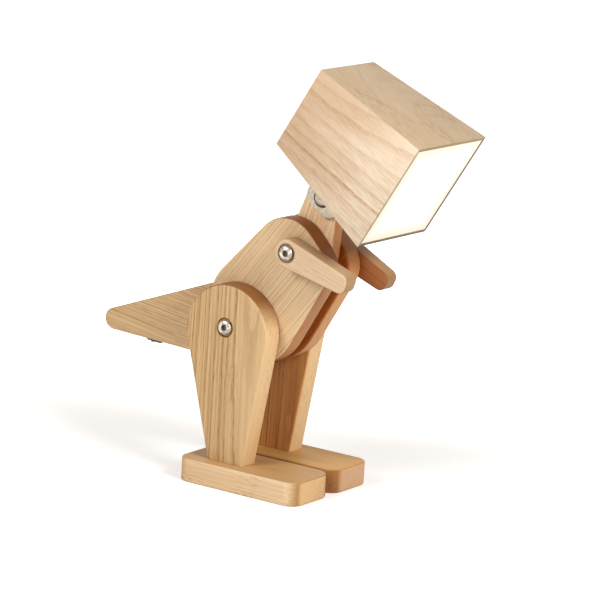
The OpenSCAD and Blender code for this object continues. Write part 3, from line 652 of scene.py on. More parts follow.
# %% Cutters
def as_plain(piece):
    """The piece with its modifiers worked into a plain mesh."""
    shaped = piece.evaluated_get(bpy.context.evaluated_depsgraph_get())
    mesh = bpy.data.meshes.new_from_object(shaped)
    piece.modifiers.clear()
    piece.data = mesh
    smooth(mesh)
    return piece


def carve(piece, cutters):
    """Cut the cutters' shapes out of a piece, and remove the cutters."""
    for cutter in cutters:
        cut = piece.modifiers.new("cut", "BOOLEAN")
        cut.operation = "DIFFERENCE"
        cut.solver = "EXACT"
        cut.object = cutter
    as_plain(piece)
    for cutter in cutters:
        bpy.data.objects.remove(cutter)


def pocket_for(node, gap):
    """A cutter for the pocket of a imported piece: the hull of its points, grown by a gap."""
    bm = bmesh.new()
    for vert in frame["nodes"][node].data.vertices:
        bm.verts.new(vert.co)
    bmesh.ops.convex_hull(bm, input=bm.verts[:])
    bmesh.ops.delete(bm, geom=[vert for vert in bm.verts if not vert.link_faces], context="VERTS")
    bmesh.ops.recalc_face_normals(bm, faces=bm.faces)
    bm.normal_update()
    for vert in bm.verts:
        vert.co += vert.normal * gap * MM
    return add_object(node + "_pocket", mesh_from(bm, node + "_pocket"))


def turned_cutter(name, spot, profile):
    """A cutter turned about an upright axis: profile is (radius, height) from below, in millimetres."""
    bm = bmesh.new()
    rings = [[bm.verts.new(Vector((spot.x + r * cos(t), spot.y + r * sin(t), z)) * MM) for t in FULL_TURN]
             for r, z in profile]
    join_rings(bm, rings)
    bm.faces.new(rings[0])
    bm.faces.new(rings[-1])
    return add_object(name, mesh_from(bm, name))


print("a round cutter has", HOLE_SIDES, "sides")

# %% [markdown]
# ## Layers
# The boards hang on two cross bolts, at the hip and at the shoulder, and lie in layers: tail and
# neck in the middle slot, a plate on each side of it, then the legs and arms. Each piece could
# carry its own numbers, but sizes that are written once keep the layers in step. A finished piece
# is tied to its body, and the imported nodes that it stands for are hidden.

# %% Sizes that the boards share
EASE = 1.5
BORE_R = 3.05
SLEEVE_BORE_R = 4.25
RECESS_R = 7.1
RECESS_DEPTH = 2.0
SLOT_W = 12.0
PLATE_T = 15.5
LIMB_GAP = 0.4
LEG_T = 17.0
ARM_T = 13.0
LIMB_IN = SLOT_W / 2 + PLATE_T + LIMB_GAP
SIDES = {"left": 1, "right": -1}
UPRIGHT_GRAIN = Matrix.Rotation(radians(-90), 4, "Y")


def dress(piece, body, slot, *nodes):
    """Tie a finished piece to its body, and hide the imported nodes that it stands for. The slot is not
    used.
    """
    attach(piece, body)
    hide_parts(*nodes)
    print(piece.name, len(piece.data.polygons), "faces on", body)


def mirrored(spot, side):
    """A spot in a left board, or its mirror image in the right one."""
    return (spot[0], spot[1] * side, spot[2])


def bore(spot, half, radius):
    return spot, [(radius, half), (radius, -half)]


def limb_bore(side, half):
    """Hole through a limb at its pivot, with the bolt head's recess on the outer side."""
    radius = SLEEVE_BORE_R if side > 0 else BORE_R
    floor = half - RECESS_DEPTH
    steps = [(RECESS_R, half), (RECESS_R, floor), (radius, floor), (radius, -half)]
    return (0, 0), steps if side > 0 else [(r, -y) for r, y in reversed(steps)]


print("limbs start", LIMB_IN, "mm from the middle")

# %% [markdown]
# ## Legs
# Each leg is a tapered board with a round crown, and the hip bolt's head sits in a recess in its
# outer side. The grain runs upright, with crowded lines behind and wide ones in front. Its narrow
# edges carry a painted highlight, its inner side painted shade, and its crown is darker as end
# grain and as painted shade. A leg could copy its imported shape, but that has no eased edge to
# catch the light.

# %% Legs
LEG_CROWN_R = 36.0
LEG_CROWN_DROP = 3.8
LEG_CROWN_LEAD = 1.4
LEG_BASE_W = 31.4
LEG_BASE_LEAD = 6.4
LEG_CORNER_R = 0.9
LEG_SET_IN = 1.7
LEG_WOOD = (212, 179, 134), (211, 176, 127), (114, 64, 27)
# Painted highlight on the narrow edges, and end grain darkened further by painted shade on the crown
LEG_EDGE_HIGHLIGHT = (1.06, 1.06, 1.04, 1)
LEG_CROWN_GRAIN_AND_SHADE = (0.36, 0.22, 0.11, 1)
LEG_HEART = (0, -22, -23)
LEG_SEED = 2.0
LEG_GRAIN = {"lean": (0, 0.02, 0.03), "drift": (0, 0, 8), "fade": (0, 0, 26), "ring": 2.5, "warp": 7,
             "lines": 0.95, "streaks": 0.5, "edges": 1.0, "edge": LEG_EDGE_HIGHLIGHT, "ends": LEG_CROWN_GRAIN_AND_SHADE}
foot_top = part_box("left_foot")[1].z / MM


def leg(name, side):
    low = foot_top - HIP.z + LEG_CORNER_R - LEG_SET_IN
    reach = LEG_BASE_W / 2 - LEG_CORNER_R
    discs = [(LEG_CROWN_LEAD, -LEG_CROWN_DROP, LEG_CROWN_R), (LEG_BASE_LEAD - reach, low, LEG_CORNER_R),
             (LEG_BASE_LEAD + reach, low, LEG_CORNER_R)]
    place = Matrix.Translation(HIP + Vector((0, side * (LIMB_IN + LEG_T / 2), 0)))
    wood = ash(name + "_leg_ash", place @ UPRIGHT_GRAIN, *LEG_WOOD, heart=mirrored(LEG_HEART, side),
               inner=-side, seed=LEG_SEED + side, **LEG_GRAIN)
    piece = board(name + "_leg_board", discs, LEG_T, EASE, place, wood, [limb_bore(side, LEG_T / 2)])
    dress(piece, name + "_leg", "ash", name + "_leg")


for side_name, side_sign in SIDES.items():
    leg(side_name, side_sign)

# %% [markdown]
# ## Feet
# Each foot is a thick board with round corners, screwed to its leg from below. Its grain runs along
# it. Its front end takes painted light, and its rounded front corners, its top and narrow faces and
# its inner side take painted shade, with tones of its own for each foot. It could be a box with
# bevelled edges, but four discs give the same outline as on the other boards. The screw holes are
# cut from the sole, as a countersink would.

# %% Feet
FOOT_CORNER_R = 11.0
FOOT_EASE = 1.2
FOOT_WOOD = (229, 203, 168), (214, 182, 140), (166, 116, 68)
# Painted shade on the front corners and the inner side, painted light on the front ends, and painted shade
# on the top and narrow faces
FOOT_CORNER_SHADE = (0.80, 0.70, 0.56, 1)
FOOT_INSIDE_SHADE = (0.46, 0.28, 0.14, 1)
FOOT_FRONT_LIGHT_TONES = {"left": (0.95, 0.99, 1.7, 1), "right": (1.26, 1.3, 1.38, 1)}
FOOT_TOP_SHADE_TONES = {"left": (0.75, 0.57, 0.29, 1), "right": (0.66, 0.54, 0.37, 1)}
FOOT_HEART = (0, 25, -60)
FOOT_SEED = 6.0
FOOT_GRAIN = {"lean": (0, 0.03, 0.05), "drift": (-4, 0, 0), "ring": 2.8, "warp": 7, "lines": 0.36,
              "streaks": 0.22, "flecks": 0.6, "edges": 1.0, "ends": FOOT_CORNER_SHADE, "shade": FOOT_INSIDE_SHADE}
FOOT_TURN = Matrix.Rotation(radians(-90), 4, "X")
CORNERS = ((-1, -1), (1, -1), (1, 1), (-1, 1))
SCREW_HEAD_R = 4.0
SCREW_R = 2.0
SCREW_SINK = 0.5
SCREW_HEAD_H = 2.4
SCREW_GAP = 0.1
BELOW_SOLE = -1


def screw_holes(name, foot_t):
    """Countersunk holes in the sole for the two screws that hold the leg."""
    low, high = (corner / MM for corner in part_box(name + "_foot_screws"))
    rim, shank = SCREW_HEAD_R + SCREW_GAP, SCREW_R + SCREW_GAP
    profile = [(rim, BELOW_SOLE), (rim, SCREW_SINK), (shank, SCREW_SINK + SCREW_HEAD_H), (shank, foot_t / 2)]
    spots = [Vector((x, (low.y + high.y) / 2)) for x in (low.x + SCREW_HEAD_R, high.x - SCREW_HEAD_R)]
    return [turned_cutter(name + "_hole", spot, profile) for spot in spots]


def foot(name, side):
    low, high = (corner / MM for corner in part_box(name + "_foot"))
    size, centre = high - low, (high + low) / 2
    reach, half_width = size.x / 2 - FOOT_CORNER_R, size.y / 2 - FOOT_CORNER_R
    discs = [(reach * sx, half_width * sy, FOOT_CORNER_R) for sx, sy in CORNERS]
    place = Matrix.Translation(centre)
    wood = ash(name + "_foot_ash", place, *FOOT_WOOD, heart=mirrored(FOOT_HEART, side), inner=-side,
               face=FOOT_FRONT_LIGHT_TONES[name], edge=FOOT_TOP_SHADE_TONES[name], seed=FOOT_SEED + side,
               **FOOT_GRAIN)
    piece = board(name + "_foot_board", discs, size.z, FOOT_EASE, place @ FOOT_TURN, wood)
    carve(piece, screw_holes(name, size.z))
    dress(piece, name + "_leg", "ash", name + "_foot")


for side_name, side_sign in SIDES.items():
    foot(side_name, side_sign)

# %% [markdown]
# ## Body
# Two plates make the body, with a slot between them that holds the tail and the neck. They could be
# one block with a slot cut into it, but the real ones are two boards, and each has its own grain.
# Both come from one outline of three discs, along the slope from hip to shoulder. Their narrow
# edges, under the head, and their inner sides, in the slot, are darkened as painted shade.

# %% Side plates
TORSO_ANGLE = 52.8
TORSO_LEN = (SHOULDER - HIP).length
PLATE_DISCS = [(16.5, -1.9, 40.0), (TORSO_LEN - 7.0, -12.0, 22.6), (TORSO_LEN - 10.0, 4.6, 28.0)]
PLATE_WOOD = (229, 203, 165), (220, 188, 146), (158, 112, 66)
# Painted shade on the narrow edges, which lie under the head
PLATE_EDGE_SHADES = {"left": (0.76, 0.53, 0.37, 1), "right": (0.58, 0.335, 0.185, 1)}
PLATE_END = (0.72, 0.62, 0.52, 1)
# Painted shade on the inner sides, in the slot
SLOT_SHADE_TONE = (0.54, 0.20, 0.05, 1)
PLATE_HEART = (0, 40, 80)
PLATE_SEED = 11.0
PLATE_GRAIN = {"lean": (0, 0.02, 0.05), "ring": 2.4, "warp": 4, "lines": 0.65, "streaks": 0.42, "edges": 1.0,
               "ends": PLATE_END, "shade": SLOT_SHADE_TONE}
torso_turn = Matrix.Rotation(radians(-TORSO_ANGLE), 4, "Y")


def side_plate(name, side):
    place = Matrix.Translation(HIP + Vector((0, side * (SLOT_W + PLATE_T) / 2, 0))) @ torso_turn
    wood = ash(name + "_plate_ash", place, *PLATE_WOOD, heart=mirrored(PLATE_HEART, side), inner=-side,
               edge=PLATE_EDGE_SHADES[name], seed=PLATE_SEED + side, **PLATE_GRAIN)
    holes = [bore((x, 0), PLATE_T / 2, BORE_R) for x in (0, TORSO_LEN)]
    piece = board(name + "_plate_board", PLATE_DISCS, PLATE_T, EASE, place, wood, holes)
    dress(piece, "torso", "ash", name + "_side_plate")


for side_name, side_sign in SIDES.items():
    side_plate(side_name, side_sign)

# %% [markdown]
# ## Tail
# The tail is a long board that turns on the hip bolt and tapers to its tip. Its round hub lies in the
# shade of the slot, so the hub's edge has a darker material of its own. Two pockets in its underside
# take the switch and the socket. They could be plain boxes, but cut with the hulls of those pieces
# they always fit.

# %% Tail
TAIL_DROOP = 9.3
TAIL_GRAIN_SLANT = 8.0
TAIL_T = 11.0
TAIL_DISCS = [(0, 0, 34.5), (-129.7, 0, 8.29)]
TAIL_WOOD = (212, 181, 138), (202, 168, 123), (134, 92, 52)
HUB_WOOD = (124, 74, 42), (108, 62, 34), (70, 38, 18)
TAIL_GRAIN = {"heart": (0, -50, 70), "lean": (0, 0.0, 0.02), "ring": 2.8, "warp": 5}
HUB_FACING = 0.5
POCKET_GAP = 0.1
tail_place = Matrix.Translation(HIP) @ Matrix.Rotation(radians(-TAIL_DROOP), 4, "Y")
tail_grain = Matrix.Translation(HIP) @ Matrix.Rotation(radians(TAIL_GRAIN_SLANT), 4, "Y")
tail_ash = ash("tail_ash", tail_grain, *TAIL_WOOD, lines=0.7, streaks=0.4, seed=17.0, **TAIL_GRAIN)
hub_ash = ash("tail_hub_ash", tail_grain, *HUB_WOOD, seed=18.0, **TAIL_GRAIN)
tail_hole = bore((0, 0), TAIL_T / 2, BORE_R)
tail_piece = board("tail_board", TAIL_DISCS, TAIL_T, EASE, tail_place, tail_ash, [tail_hole])
carve(tail_piece, [pocket_for(node, POCKET_GAP) for node in ("switch_housing", "power_socket")])
tail_piece.data.materials.append(hub_ash)
for polygon in tail_piece.data.polygons:
    if polygon.center.x > HIP.x * MM and abs(polygon.normal.y) < HUB_FACING:
        polygon.material_index = 1
dress(tail_piece, "tail", "ash", "tail")

# %% [markdown]
# ## Arms
# The arms are small tapered boards of paler wood on the shoulder bolt. Their inner sides and top
# edges are darkened as painted shade, and the left arm's wood deepens towards the shoulder as
# painted shade. One could be a mirror image of the other, but they hang at different angles, and
# each has its own grain.

# %% Arms
ARM_EASE = 1.1
ARM_DISCS = [(0, 0, 10.6), (49.0, -1.5, 6.0), (49.0, 1.5, 6.0)]
ARM_DROOPS = {"left": 24.5, "right": 17.0}
ARM_PALE = (222, 197, 168)
# The left arm's deeper tone is painted shade
ARM_DEEP_AND_SHADE = {"left": (202, 166, 128), "right": (216, 187, 155)}
ARM_LINE = (180, 134, 90)
# Painted shade on the inner sides and the top edges
ARM_INSIDE_SHADE = (0.46, 0.23, 0.115, 1)
ARM_EDGE_SHADES = {"left": (0.50, 0.38, 0.26, 1), "right": (0.62, 0.53, 0.42, 1)}
ARM_END = (0.85, 0.78, 0.70, 1)
# The left arm darkens towards the shoulder: painted shade
ARM_SHADE_DRIFT = {"left": (-10, 0, 0), "right": (0, 0, 0)}
ARM_LINES = {"left": 0.9, "right": 0.45}
ARM_HEART = (0, 30, 90)
ARM_SEED = 23.0
ARM_GRAIN = {"lean": (0, 0.02, 0.03), "ring": 2.4, "warp": 4, "edges": 1.0, "ends": ARM_END,
             "shade": ARM_INSIDE_SHADE}
ARM_GRAIN_AT = 40.0


def arm(name, side):
    place = Matrix.Translation(SHOULDER + Vector((0, side * (LIMB_IN + ARM_T / 2), 0)))
    place = place @ Matrix.Rotation(radians(ARM_DROOPS[name]), 4, "Y")
    grain_place = place @ Matrix.Translation((ARM_GRAIN_AT, 0, 0))
    wood = ash(name + "_arm_ash", grain_place, ARM_PALE, ARM_DEEP_AND_SHADE[name], ARM_LINE,
               heart=mirrored(ARM_HEART, side), drift=ARM_SHADE_DRIFT[name], lines=ARM_LINES[name],
               inner=-side, edge=ARM_EDGE_SHADES[name], seed=ARM_SEED + side, **ARM_GRAIN)
    piece = board(name + "_arm_board", ARM_DISCS, ARM_T, ARM_EASE, place, wood, [limb_bore(side, ARM_T / 2)])
    dress(piece, name + "_arm", "pale_ash", name + "_arm")


for side_name, side_sign in SIDES.items():
    arm(side_name, side_sign)

# %% [markdown]
# ## Neck
# The neck stands between the plates on the shoulder bolt and carries the head. Its length and its
# lean could be typed in, but taken from the two pivots they always reach from one to the other.
# Its pale tones are lifted as painted light on its side under the head, and its narrow edges are
# darkened as painted shade.

# %% Neck
NECK_T = 11.0
NECK_LEN = (HEAD - SHOULDER).length
HEAD_BORE_R = 2.55
NECK_DISCS = [(0, 0, 20.0), (0, NECK_LEN, 12.0), (-2.2, NECK_LEN - 5.0, 13.5)]
# Pale tones lifted as painted light on the side under the head, and painted shade on the edges
NECK_WOOD_AND_LIGHT = (247, 217, 177), (240, 206, 162), (168, 116, 70)
NECK_EDGE_SHADE = (0.74, 0.46, 0.29, 1)
NECK_GRAIN = {"heart": (0, 40, 60), "lean": (0, 0.02, 0.02), "ring": 2.0, "warp": 4, "lines": 0.65,
              "streaks": 0.4, "edges": 1.0, "edge": NECK_EDGE_SHADE, "seed": 31.0}
neck_lean = atan2(HEAD.x - SHOULDER.x, HEAD.z - SHOULDER.z)
neck_place = Matrix.Translation(SHOULDER) @ Matrix.Rotation(neck_lean, 4, "Y")
neck_ash = ash("neck_ash", neck_place @ UPRIGHT_GRAIN, *NECK_WOOD_AND_LIGHT, **NECK_GRAIN)
neck_holes = [bore((0, 0), NECK_T / 2, BORE_R), bore((0, NECK_LEN), NECK_T / 2, HEAD_BORE_R)]
neck_piece = board("neck_board", NECK_DISCS, NECK_T, EASE, neck_place, neck_ash, neck_holes)
dress(neck_piece, "neck", "ash", "neck")

# %% [markdown]
# ## Shade
# Four boards with mitred edges widen from the back to the front. Each has a rabbet behind its rim,
# where the opal panel sits. A cube with its front face scaled would look alike from afar, but it
# would have no seams, no rim and no grain of its own on each board. The rims are end grain and
# darker for it, and the rims of the bottom and far boards are darkened much more as painted shade.

# %% Sizes of the shade
SHADE_LEN = 101.4
SHADE_BACK_W = 67.7
SHADE_FRONT_W = 88.6
SHADE_PITCH = 30.9
HEAD_BOLT_AT = 41.8
HEAD_DROP = 15.8
WALL_T = 4.5
BACK_T = 5.0
RIM_W = 2.6
DIFFUSER_T = 3.0
shade_taper = atan((SHADE_FRONT_W - SHADE_BACK_W) / 2 / SHADE_LEN)
wall_inset = WALL_T / cos(shade_taper)


def half_w(u):
    """Half the shade's width at a distance from its back."""
    return (SHADE_BACK_W + (SHADE_FRONT_W - SHADE_BACK_W) * u / SHADE_LEN) / 2


axis_up = half_w(HEAD_BOLT_AT) + HEAD_DROP / cos(shade_taper)
head_turn = Matrix.Rotation(radians(SHADE_PITCH), 4, "Y")
shade_place = Matrix.Translation(HEAD) @ head_turn @ Matrix.Translation((-HEAD_BOLT_AT, 0, axis_up))
print("the shade's walls lean", round(shade_taper * 180 / pi, 2), "degrees")

# %% [markdown]
# The four boards differ only in their grain and in how far they are turned about the shade's axis.
# They could be four copies of one, but then the same arch would show on every side. A table keeps a
# recipe for each.

# %% Shade panels
PANEL_BEVEL = 0.15
PANEL_SHARP = 25
PANEL_END = (0.86, 0.76, 0.64, 1)
# Rim tones: end grain, with painted shade on the bottom and far rims
RIM_IN_SHADE = (0.17, 0.19, 0.18, 1)
TOP_RIM = (0.66, 0.60, 0.46, 1)
NEAR_RIM = (0.46, 0.48, 0.40, 1)
RIM_FACING = 0.2
# Quarter turns from the top, rim tone, then pale, deep and line tones, and the cut from the log
PANELS = {
    "shade_top": (0, TOP_RIM, ((196, 174, 146), (188, 165, 135), (146, 110, 74)),
                  {"heart": (0, 20, 160), "lean": (0, 0.01, 0.02), "ring": 2.0, "warp": 3, "lines": 0.18,
                   "streaks": 0.25, "flecks": 0.5, "seed": 41.0}),
    "shade_right": (1, NEAR_RIM, ((230, 211, 186), (210, 183, 153), (168, 116, 72)),
                    {"heart": (0, 66, -24), "lean": (0, 0.05, 0.05), "ring": 7.5, "warp": 10, "lines": 0.8,
                     "streaks": 0.32, "flecks": 0.16, "drift": (-8.0, 2.0, 0), "fade": (0, -18, 0),
                     "seed": 47.0}),
    "shade_bottom": (2, RIM_IN_SHADE, ((228, 200, 168), (218, 186, 150), (190, 148, 108)),
                     {"heart": (0, 30, 90), "lean": (0, 0.02, 0.04), "ring": 4.0, "warp": 8, "lines": 0.4,
                      "seed": 53.0}),
    "shade_left": (3, RIM_IN_SHADE, ((232, 206, 176), (224, 194, 162), (196, 154, 114)),
                   {"heart": (0, -20, -30), "lean": (0, 0.03, 0.06), "ring": 5.0, "warp": 10, "lines": 0.45,
                    "seed": 59.0}),
}


def flat_solid(name, first, second, place, material, bevel):
    """A solid between two loops of points that match, with every edge broken by a narrow bevel."""
    bm = bmesh.new()
    loops = [[bm.verts.new(point) for point in loop] for loop in (first, second)]
    join_rings(bm, loops)
    for loop in loops:
        bm.faces.new(loop)
    bmesh.ops.recalc_face_normals(bm, faces=bm.faces)
    bmesh.ops.bevel(bm, geom=bm.edges[:], offset=bevel, segments=2, profile=0.5, affect="EDGES")
    return finish_mesh(bm, name, place, material, sharp=PANEL_SHARP)


def panel(name, quarter, rim_tone, tones, grain):
    """One of the four boards, with a tone of its own on its front rim."""
    seat = SHADE_LEN - DIFFUSER_T
    side = [(0, half_w(0)), (SHADE_LEN, half_w(SHADE_LEN)), (SHADE_LEN, half_w(SHADE_LEN) - RIM_W),
            (seat, half_w(seat) - RIM_W), (seat, half_w(seat) - wall_inset), (0, half_w(0) - wall_inset)]
    place = shade_place @ Matrix.Rotation(radians(90 * quarter), 4, "X")
    middle = place @ Matrix.Translation((SHADE_LEN / 2, 0, 0))
    wood = ash(name + "_ash", middle, *tones, ends=PANEL_END, **grain)
    rim = ash(name + "_rim_ash", middle, *tones, ends=rim_tone, **grain)
    loops = [[Vector((u, mitre * w, w)) for u, w in side] for mitre in (-1, 1)]
    piece = flat_solid(name + "_board", *loops, place, wood, PANEL_BEVEL)
    piece.data.materials.append(rim)
    forward = place.to_3x3() @ Vector((1, 0, 0))
    for polygon in piece.data.polygons:
        polygon.material_index = int(polygon.normal.dot(forward) > RIM_FACING)
    dress(piece, "head", "pale_ash", name)


for panel_name, recipe in PANELS.items():
    panel(panel_name, *recipe)

# %% [markdown]
# The back of the shade is a plain board that fits between the four, flush with their back edges.
# Its grain runs across the lamp. It has no mitres, so a tapered slab between two squares will do.

# %% Shade back
BACK_BEVEL = 0.5
BACK_WOOD = (226, 198, 164), (216, 184, 146), (188, 146, 104)
BACK_GRAIN = {"heart": (0, 80, 30), "lean": (0, 0.02, 0.05), "ring": 4.0, "warp": 7, "lines": 0.4,
              "seed": 61.0}


def taper_loop(u, inset):
    """A square across the shade at a distance from its back, set in from the outside."""
    reach = half_w(u) - inset
    return [Vector((u, reach * sy, reach * sz)) for sy, sz in CORNERS]


back_frame = shade_place @ Matrix.Rotation(radians(90), 4, "Z")
back_ash = ash("shade_back_ash", back_frame, *BACK_WOOD, **BACK_GRAIN)
back_loops = [taper_loop(u, wall_inset + POCKET_GAP) for u in (0, BACK_T)]
back_piece = flat_solid("shade_back_board", *back_loops, shade_place, back_ash, BACK_BEVEL)
dress(back_piece, "head", "pale_ash", "shade_back")

# %% [markdown]
# ## Diffuser
# The front is an opal panel, lit from behind. It shines almost evenly, and turns dimmer and creamy
# towards its edges, where it sees fewer diodes. Real light through a real opal sheet would need
# many samples, so the glow is worked out from the distance to the panel's middle.

# %% Lit opal panel
GLOW = 0.9
GLOW_MIDDLE = (1.0, 1.0, 0.985, 1)
GLOW_EDGE = (0.66, 0.56, 0.40, 1)
GLOW_RAMP = ((0.42, 0.0), (0.89, 1.0))
OPAL = (0.32, 0.32, 0.31, 1)
OPAL_BEVEL = 0.4
OPAL_MOTTLE = 900.0
OPAL_DULL = 0.35
MOTTLE_DULL = 0.1


def opal_material():
    material, tree = empty_material("lit_opal")
    mapped = from_frame(tree, "Object", shade_place)
    place = add_node(tree, "ShaderNodeSeparateXYZ", {0: mapped}).outputs
    reach = maths(tree, "MAXIMUM", maths(tree, "ABSOLUTE", place[1]), maths(tree, "ABSOLUTE", place[2]))
    edge = ramp(tree, maths(tree, "DIVIDE", reach, half_w(SHADE_LEN) * MM), GLOW_RAMP)
    mottle = add_node(tree, "ShaderNodeTexNoise", {"Vector": mapped, "Scale": OPAL_MOTTLE, "Detail": 1.0})
    dull = maths(tree, "MULTIPLY_ADD", mottle.outputs["Fac"], MOTTLE_DULL, OPAL_DULL)
    colour = blend_colours(tree, edge, GLOW_MIDDLE, GLOW_EDGE)
    show(tree, add_node(tree, "ShaderNodeBsdfPrincipled",
                        {"Base Color": OPAL, "Roughness": dull, "Emission Color": colour,
                         "Emission Strength": GLOW}))
    return material


opal_loops = [taper_loop(u, RIM_W + POCKET_GAP) for u in (SHADE_LEN - DIFFUSER_T, SHADE_LEN - POCKET_GAP)]
opal = flat_solid("opal_panel", *opal_loops, shade_place, opal_material(), OPAL_BEVEL)
dress(opal, "head", "diffuser", "diffuser")

# %% [markdown]
# ## Metal and plastic
# Bolts, nuts, screws and the bracket are satin steel. Turning leaves fine rings on a bolt head and
# brushing leaves straight lines on a sheet, so one group draws both: noise that is drawn out along
# whatever the tool followed. Handling dulls steel in blotches, and the same darker blotches stand
# in as a painted reflection of the surroundings, so the group also takes a share of tarnish and
# reflection. Plastic has a fine moulded skin.

# %% Node groups for metal and plastic
MARK_DULL = 0.2
LEAST_DULL = 0.2
CLOUD_DULL = 0.16
MARK_SHADE = 0.3
LEAST_SHADE = 0.82
METAL_CLOUDS = (160, 160, 160)
BLOTCHES = (380, 380, 380)
BLOTCH_RAMP = ((0.4, 0.0), (0.6, 1.0))
PLASTIC_CLOUDS = 120.0
CLOUD_SHADE = 0.25
LEAST_CLOUD = 0.88
SPECK_DULL = 0.15


def metal_group():
    inputs = {"Place": ("Vector", (0, 0, 0)), "Spot": ("Vector", (0, 0, 0)),
              "Stretch": ("Vector", (1, 1, 1)), "Seed": ("Float", 0.0), "Tarnish And Reflection": ("Float", 0.0),
              "Tone": ("Color", GREY)}
    group, entry = new_group("tool_marks", inputs)
    marks = stretched_noise(group, entry["Place"], entry["Stretch"], entry["Seed"], 3.0)
    cloud = stretched_noise(group, entry["Place"], METAL_CLOUDS, entry["Seed"], 2.0)
    dull = maths(group, "MULTIPLY_ADD", marks, MARK_DULL, LEAST_DULL)
    dull = maths(group, "MULTIPLY_ADD", cloud, CLOUD_DULL, dull)
    # Darker blotches: tarnish, and a painted reflection of the surroundings
    blotch = ramp(group, stretched_noise(group, entry["Spot"], BLOTCHES, entry["Seed"], 1.0), BLOTCH_RAMP)
    clean = maths(group, "SUBTRACT", 1.0, maths(group, "MULTIPLY", blotch, entry["Tarnish And Reflection"]))
    shade = maths(group, "MULTIPLY", maths(group, "MULTIPLY_ADD", marks, MARK_SHADE, LEAST_SHADE), clean)
    put_out(group, scaled(group, entry["Tone"], shade), dull, marks)
    return group


def plastic_group():
    inputs = {"Place": ("Vector", (0, 0, 0)), "Grain": ("Float", 2500.0), "Dullness": ("Float", 0.5),
              "Tone": ("Color", GREY)}
    group, entry = new_group("moulded_skin", inputs)
    speck, cloud = (add_node(group, "ShaderNodeTexNoise", {"Vector": entry["Place"], "Scale": scale,
                                                           "Detail": 2.0}).outputs["Fac"]
                    for scale in (entry["Grain"], PLASTIC_CLOUDS))
    tone = scaled(group, entry["Tone"], maths(group, "MULTIPLY_ADD", cloud, CLOUD_SHADE, LEAST_CLOUD))
    put_out(group, tone, maths(group, "MULTIPLY_ADD", speck, SPECK_DULL, entry["Dullness"]), speck)
    return group


TOOL_MARKS = metal_group()
MOULDED = plastic_group()
print("finish groups", TOOL_MARKS.name, MOULDED.name)

# %% [markdown]
# Each material places one of those groups with its own values. A bolt head could have rings drawn on
# it, but here the distance from the bolt's axis takes the place of the coordinates, and that turns
# the noise into rings.

# %% Metal and plastic materials
RADIAL = (2200, 2200, 2200)
BRUSHED = (60, 2600, 2600)
OFF_AXIS = (1, 0, 1)
METAL_DENT = (0.15, 0.0001)
METAL_GLOSS = {"Metallic": 1.0}
PLASTIC_DENT = (0.1, 0.0001)
PLASTIC_GLOSS = {"Metallic": 0.0}
STEEL = srgb(214, 206, 192)
# Painted shade of the bolt recesses, on the washers under the bolt heads
WASHER_RECESS_SHADE = srgb(138, 108, 78)
BRACKET_STEEL = srgb(178, 167, 148)
HEAD_STEEL = srgb(176, 164, 146)


def metal(name, tone, place=None, tarnish_and_reflection=0.0, seed=0.0):
    """Steel turned about the Y axis of a place, or brushed along X where no place is given."""
    material, tree = empty_material(name)
    coords = add_node(tree, "ShaderNodeTexCoord").outputs["Object"]
    spot, stretch = coords, BRUSHED
    if place is not None:
        flat = vectors(tree, "MULTIPLY", vectors(tree, "SUBTRACT", coords, place * MM), OFF_AXIS)
        spot = add_node(tree, "ShaderNodeCombineXYZ", {0: measure(tree, "LENGTH", flat)}).outputs[0]
        stretch = RADIAL
    values = {"Place": spot, "Spot": coords, "Stretch": stretch, "Seed": seed, "Tarnish And Reflection": tarnish_and_reflection,
              "Tone": tone}
    finish_with(tree, TOOL_MARKS, values, METAL_DENT, METAL_GLOSS)
    return material


def plastic(name, tone, grain=2500.0, dullness=0.45):
    """Moulded plastic: grain is how fine its skin is."""
    material, tree = empty_material(name)
    coords = add_node(tree, "ShaderNodeTexCoord").outputs["Object"]
    values = {"Place": coords, "Grain": grain, "Dullness": dullness, "Tone": tone}
    finish_with(tree, MOULDED, values, PLASTIC_DENT, PLASTIC_GLOSS)
    return material


bolt_steel = metal("bolt_steel", STEEL, HIP, 0.5, 1.0)
shoulder_steel = metal("shoulder_steel", STEEL, SHOULDER, 0.5, 3.0)
head_steel = metal("head_steel", HEAD_STEEL, HEAD, 0.2, 5.0)
sheet_steel = metal("sheet_steel", BRACKET_STEEL, tarnish_and_reflection=0.2, seed=8.0)
# Painted shadow inside the hex sockets
socket_dark = plastic("socket_shadow", srgb(100, 88, 68), 1800.0, 0.6)
# Painted shadow for the ring round the head bolt
ring_shadow_dark = plastic("ring_shadow", srgb(58, 52, 46), 1800.0, 0.6)
print("steels", bolt_steel.name, shoulder_steel.name, head_steel.name, sheet_steel.name)

# %% [markdown]
# ## Fasteners
# The cross bolts and their barrel nuts share one shape in several sizes: a round head with a broken
# edge, a hex socket in a shallow dish, and a shank. Each could be modelled by hand. A Geometry
# Nodes tree holds the recipe once, and each fastener sets its own sizes. The recipe starts with its
# named sizes and with bars and cones.

# %% Sizes, bars and cones
FASTENER_SIZES = ("Head Radius", "Head Height", "Edge", "Shank Radius", "Shank Length", "Hex Width",
                  "Hex Depth", "Dish Radius", "Dish Depth")
HEAD_SIDES = 64


def recipe_sockets(tree):
    """The tree's named inputs: the sizes, the way out of the seat, and the two finishes."""
    kinds = [("Geometry", "Geometry")] + [(label, "Float") for label in FASTENER_SIZES]
    kinds += [("Way Out", "Vector"), ("Metal", "Material"), ("Shadow", "Material")]
    for label, kind in kinds:
        tree.interface.new_socket(label, in_out="INPUT", socket_type="NodeSocket" + kind)
    tree.interface.new_socket("Geometry", in_out="OUTPUT", socket_type="NodeSocketGeometry")
    return tree.nodes.new("NodeGroupInput").outputs


def shifted(tree, mesh, height):
    lift = add_node(tree, "ShaderNodeCombineXYZ", {2: height}).outputs[0]
    return add_node(tree, "GeometryNodeTransform", {"Geometry": mesh, "Translation": lift}).outputs[0]


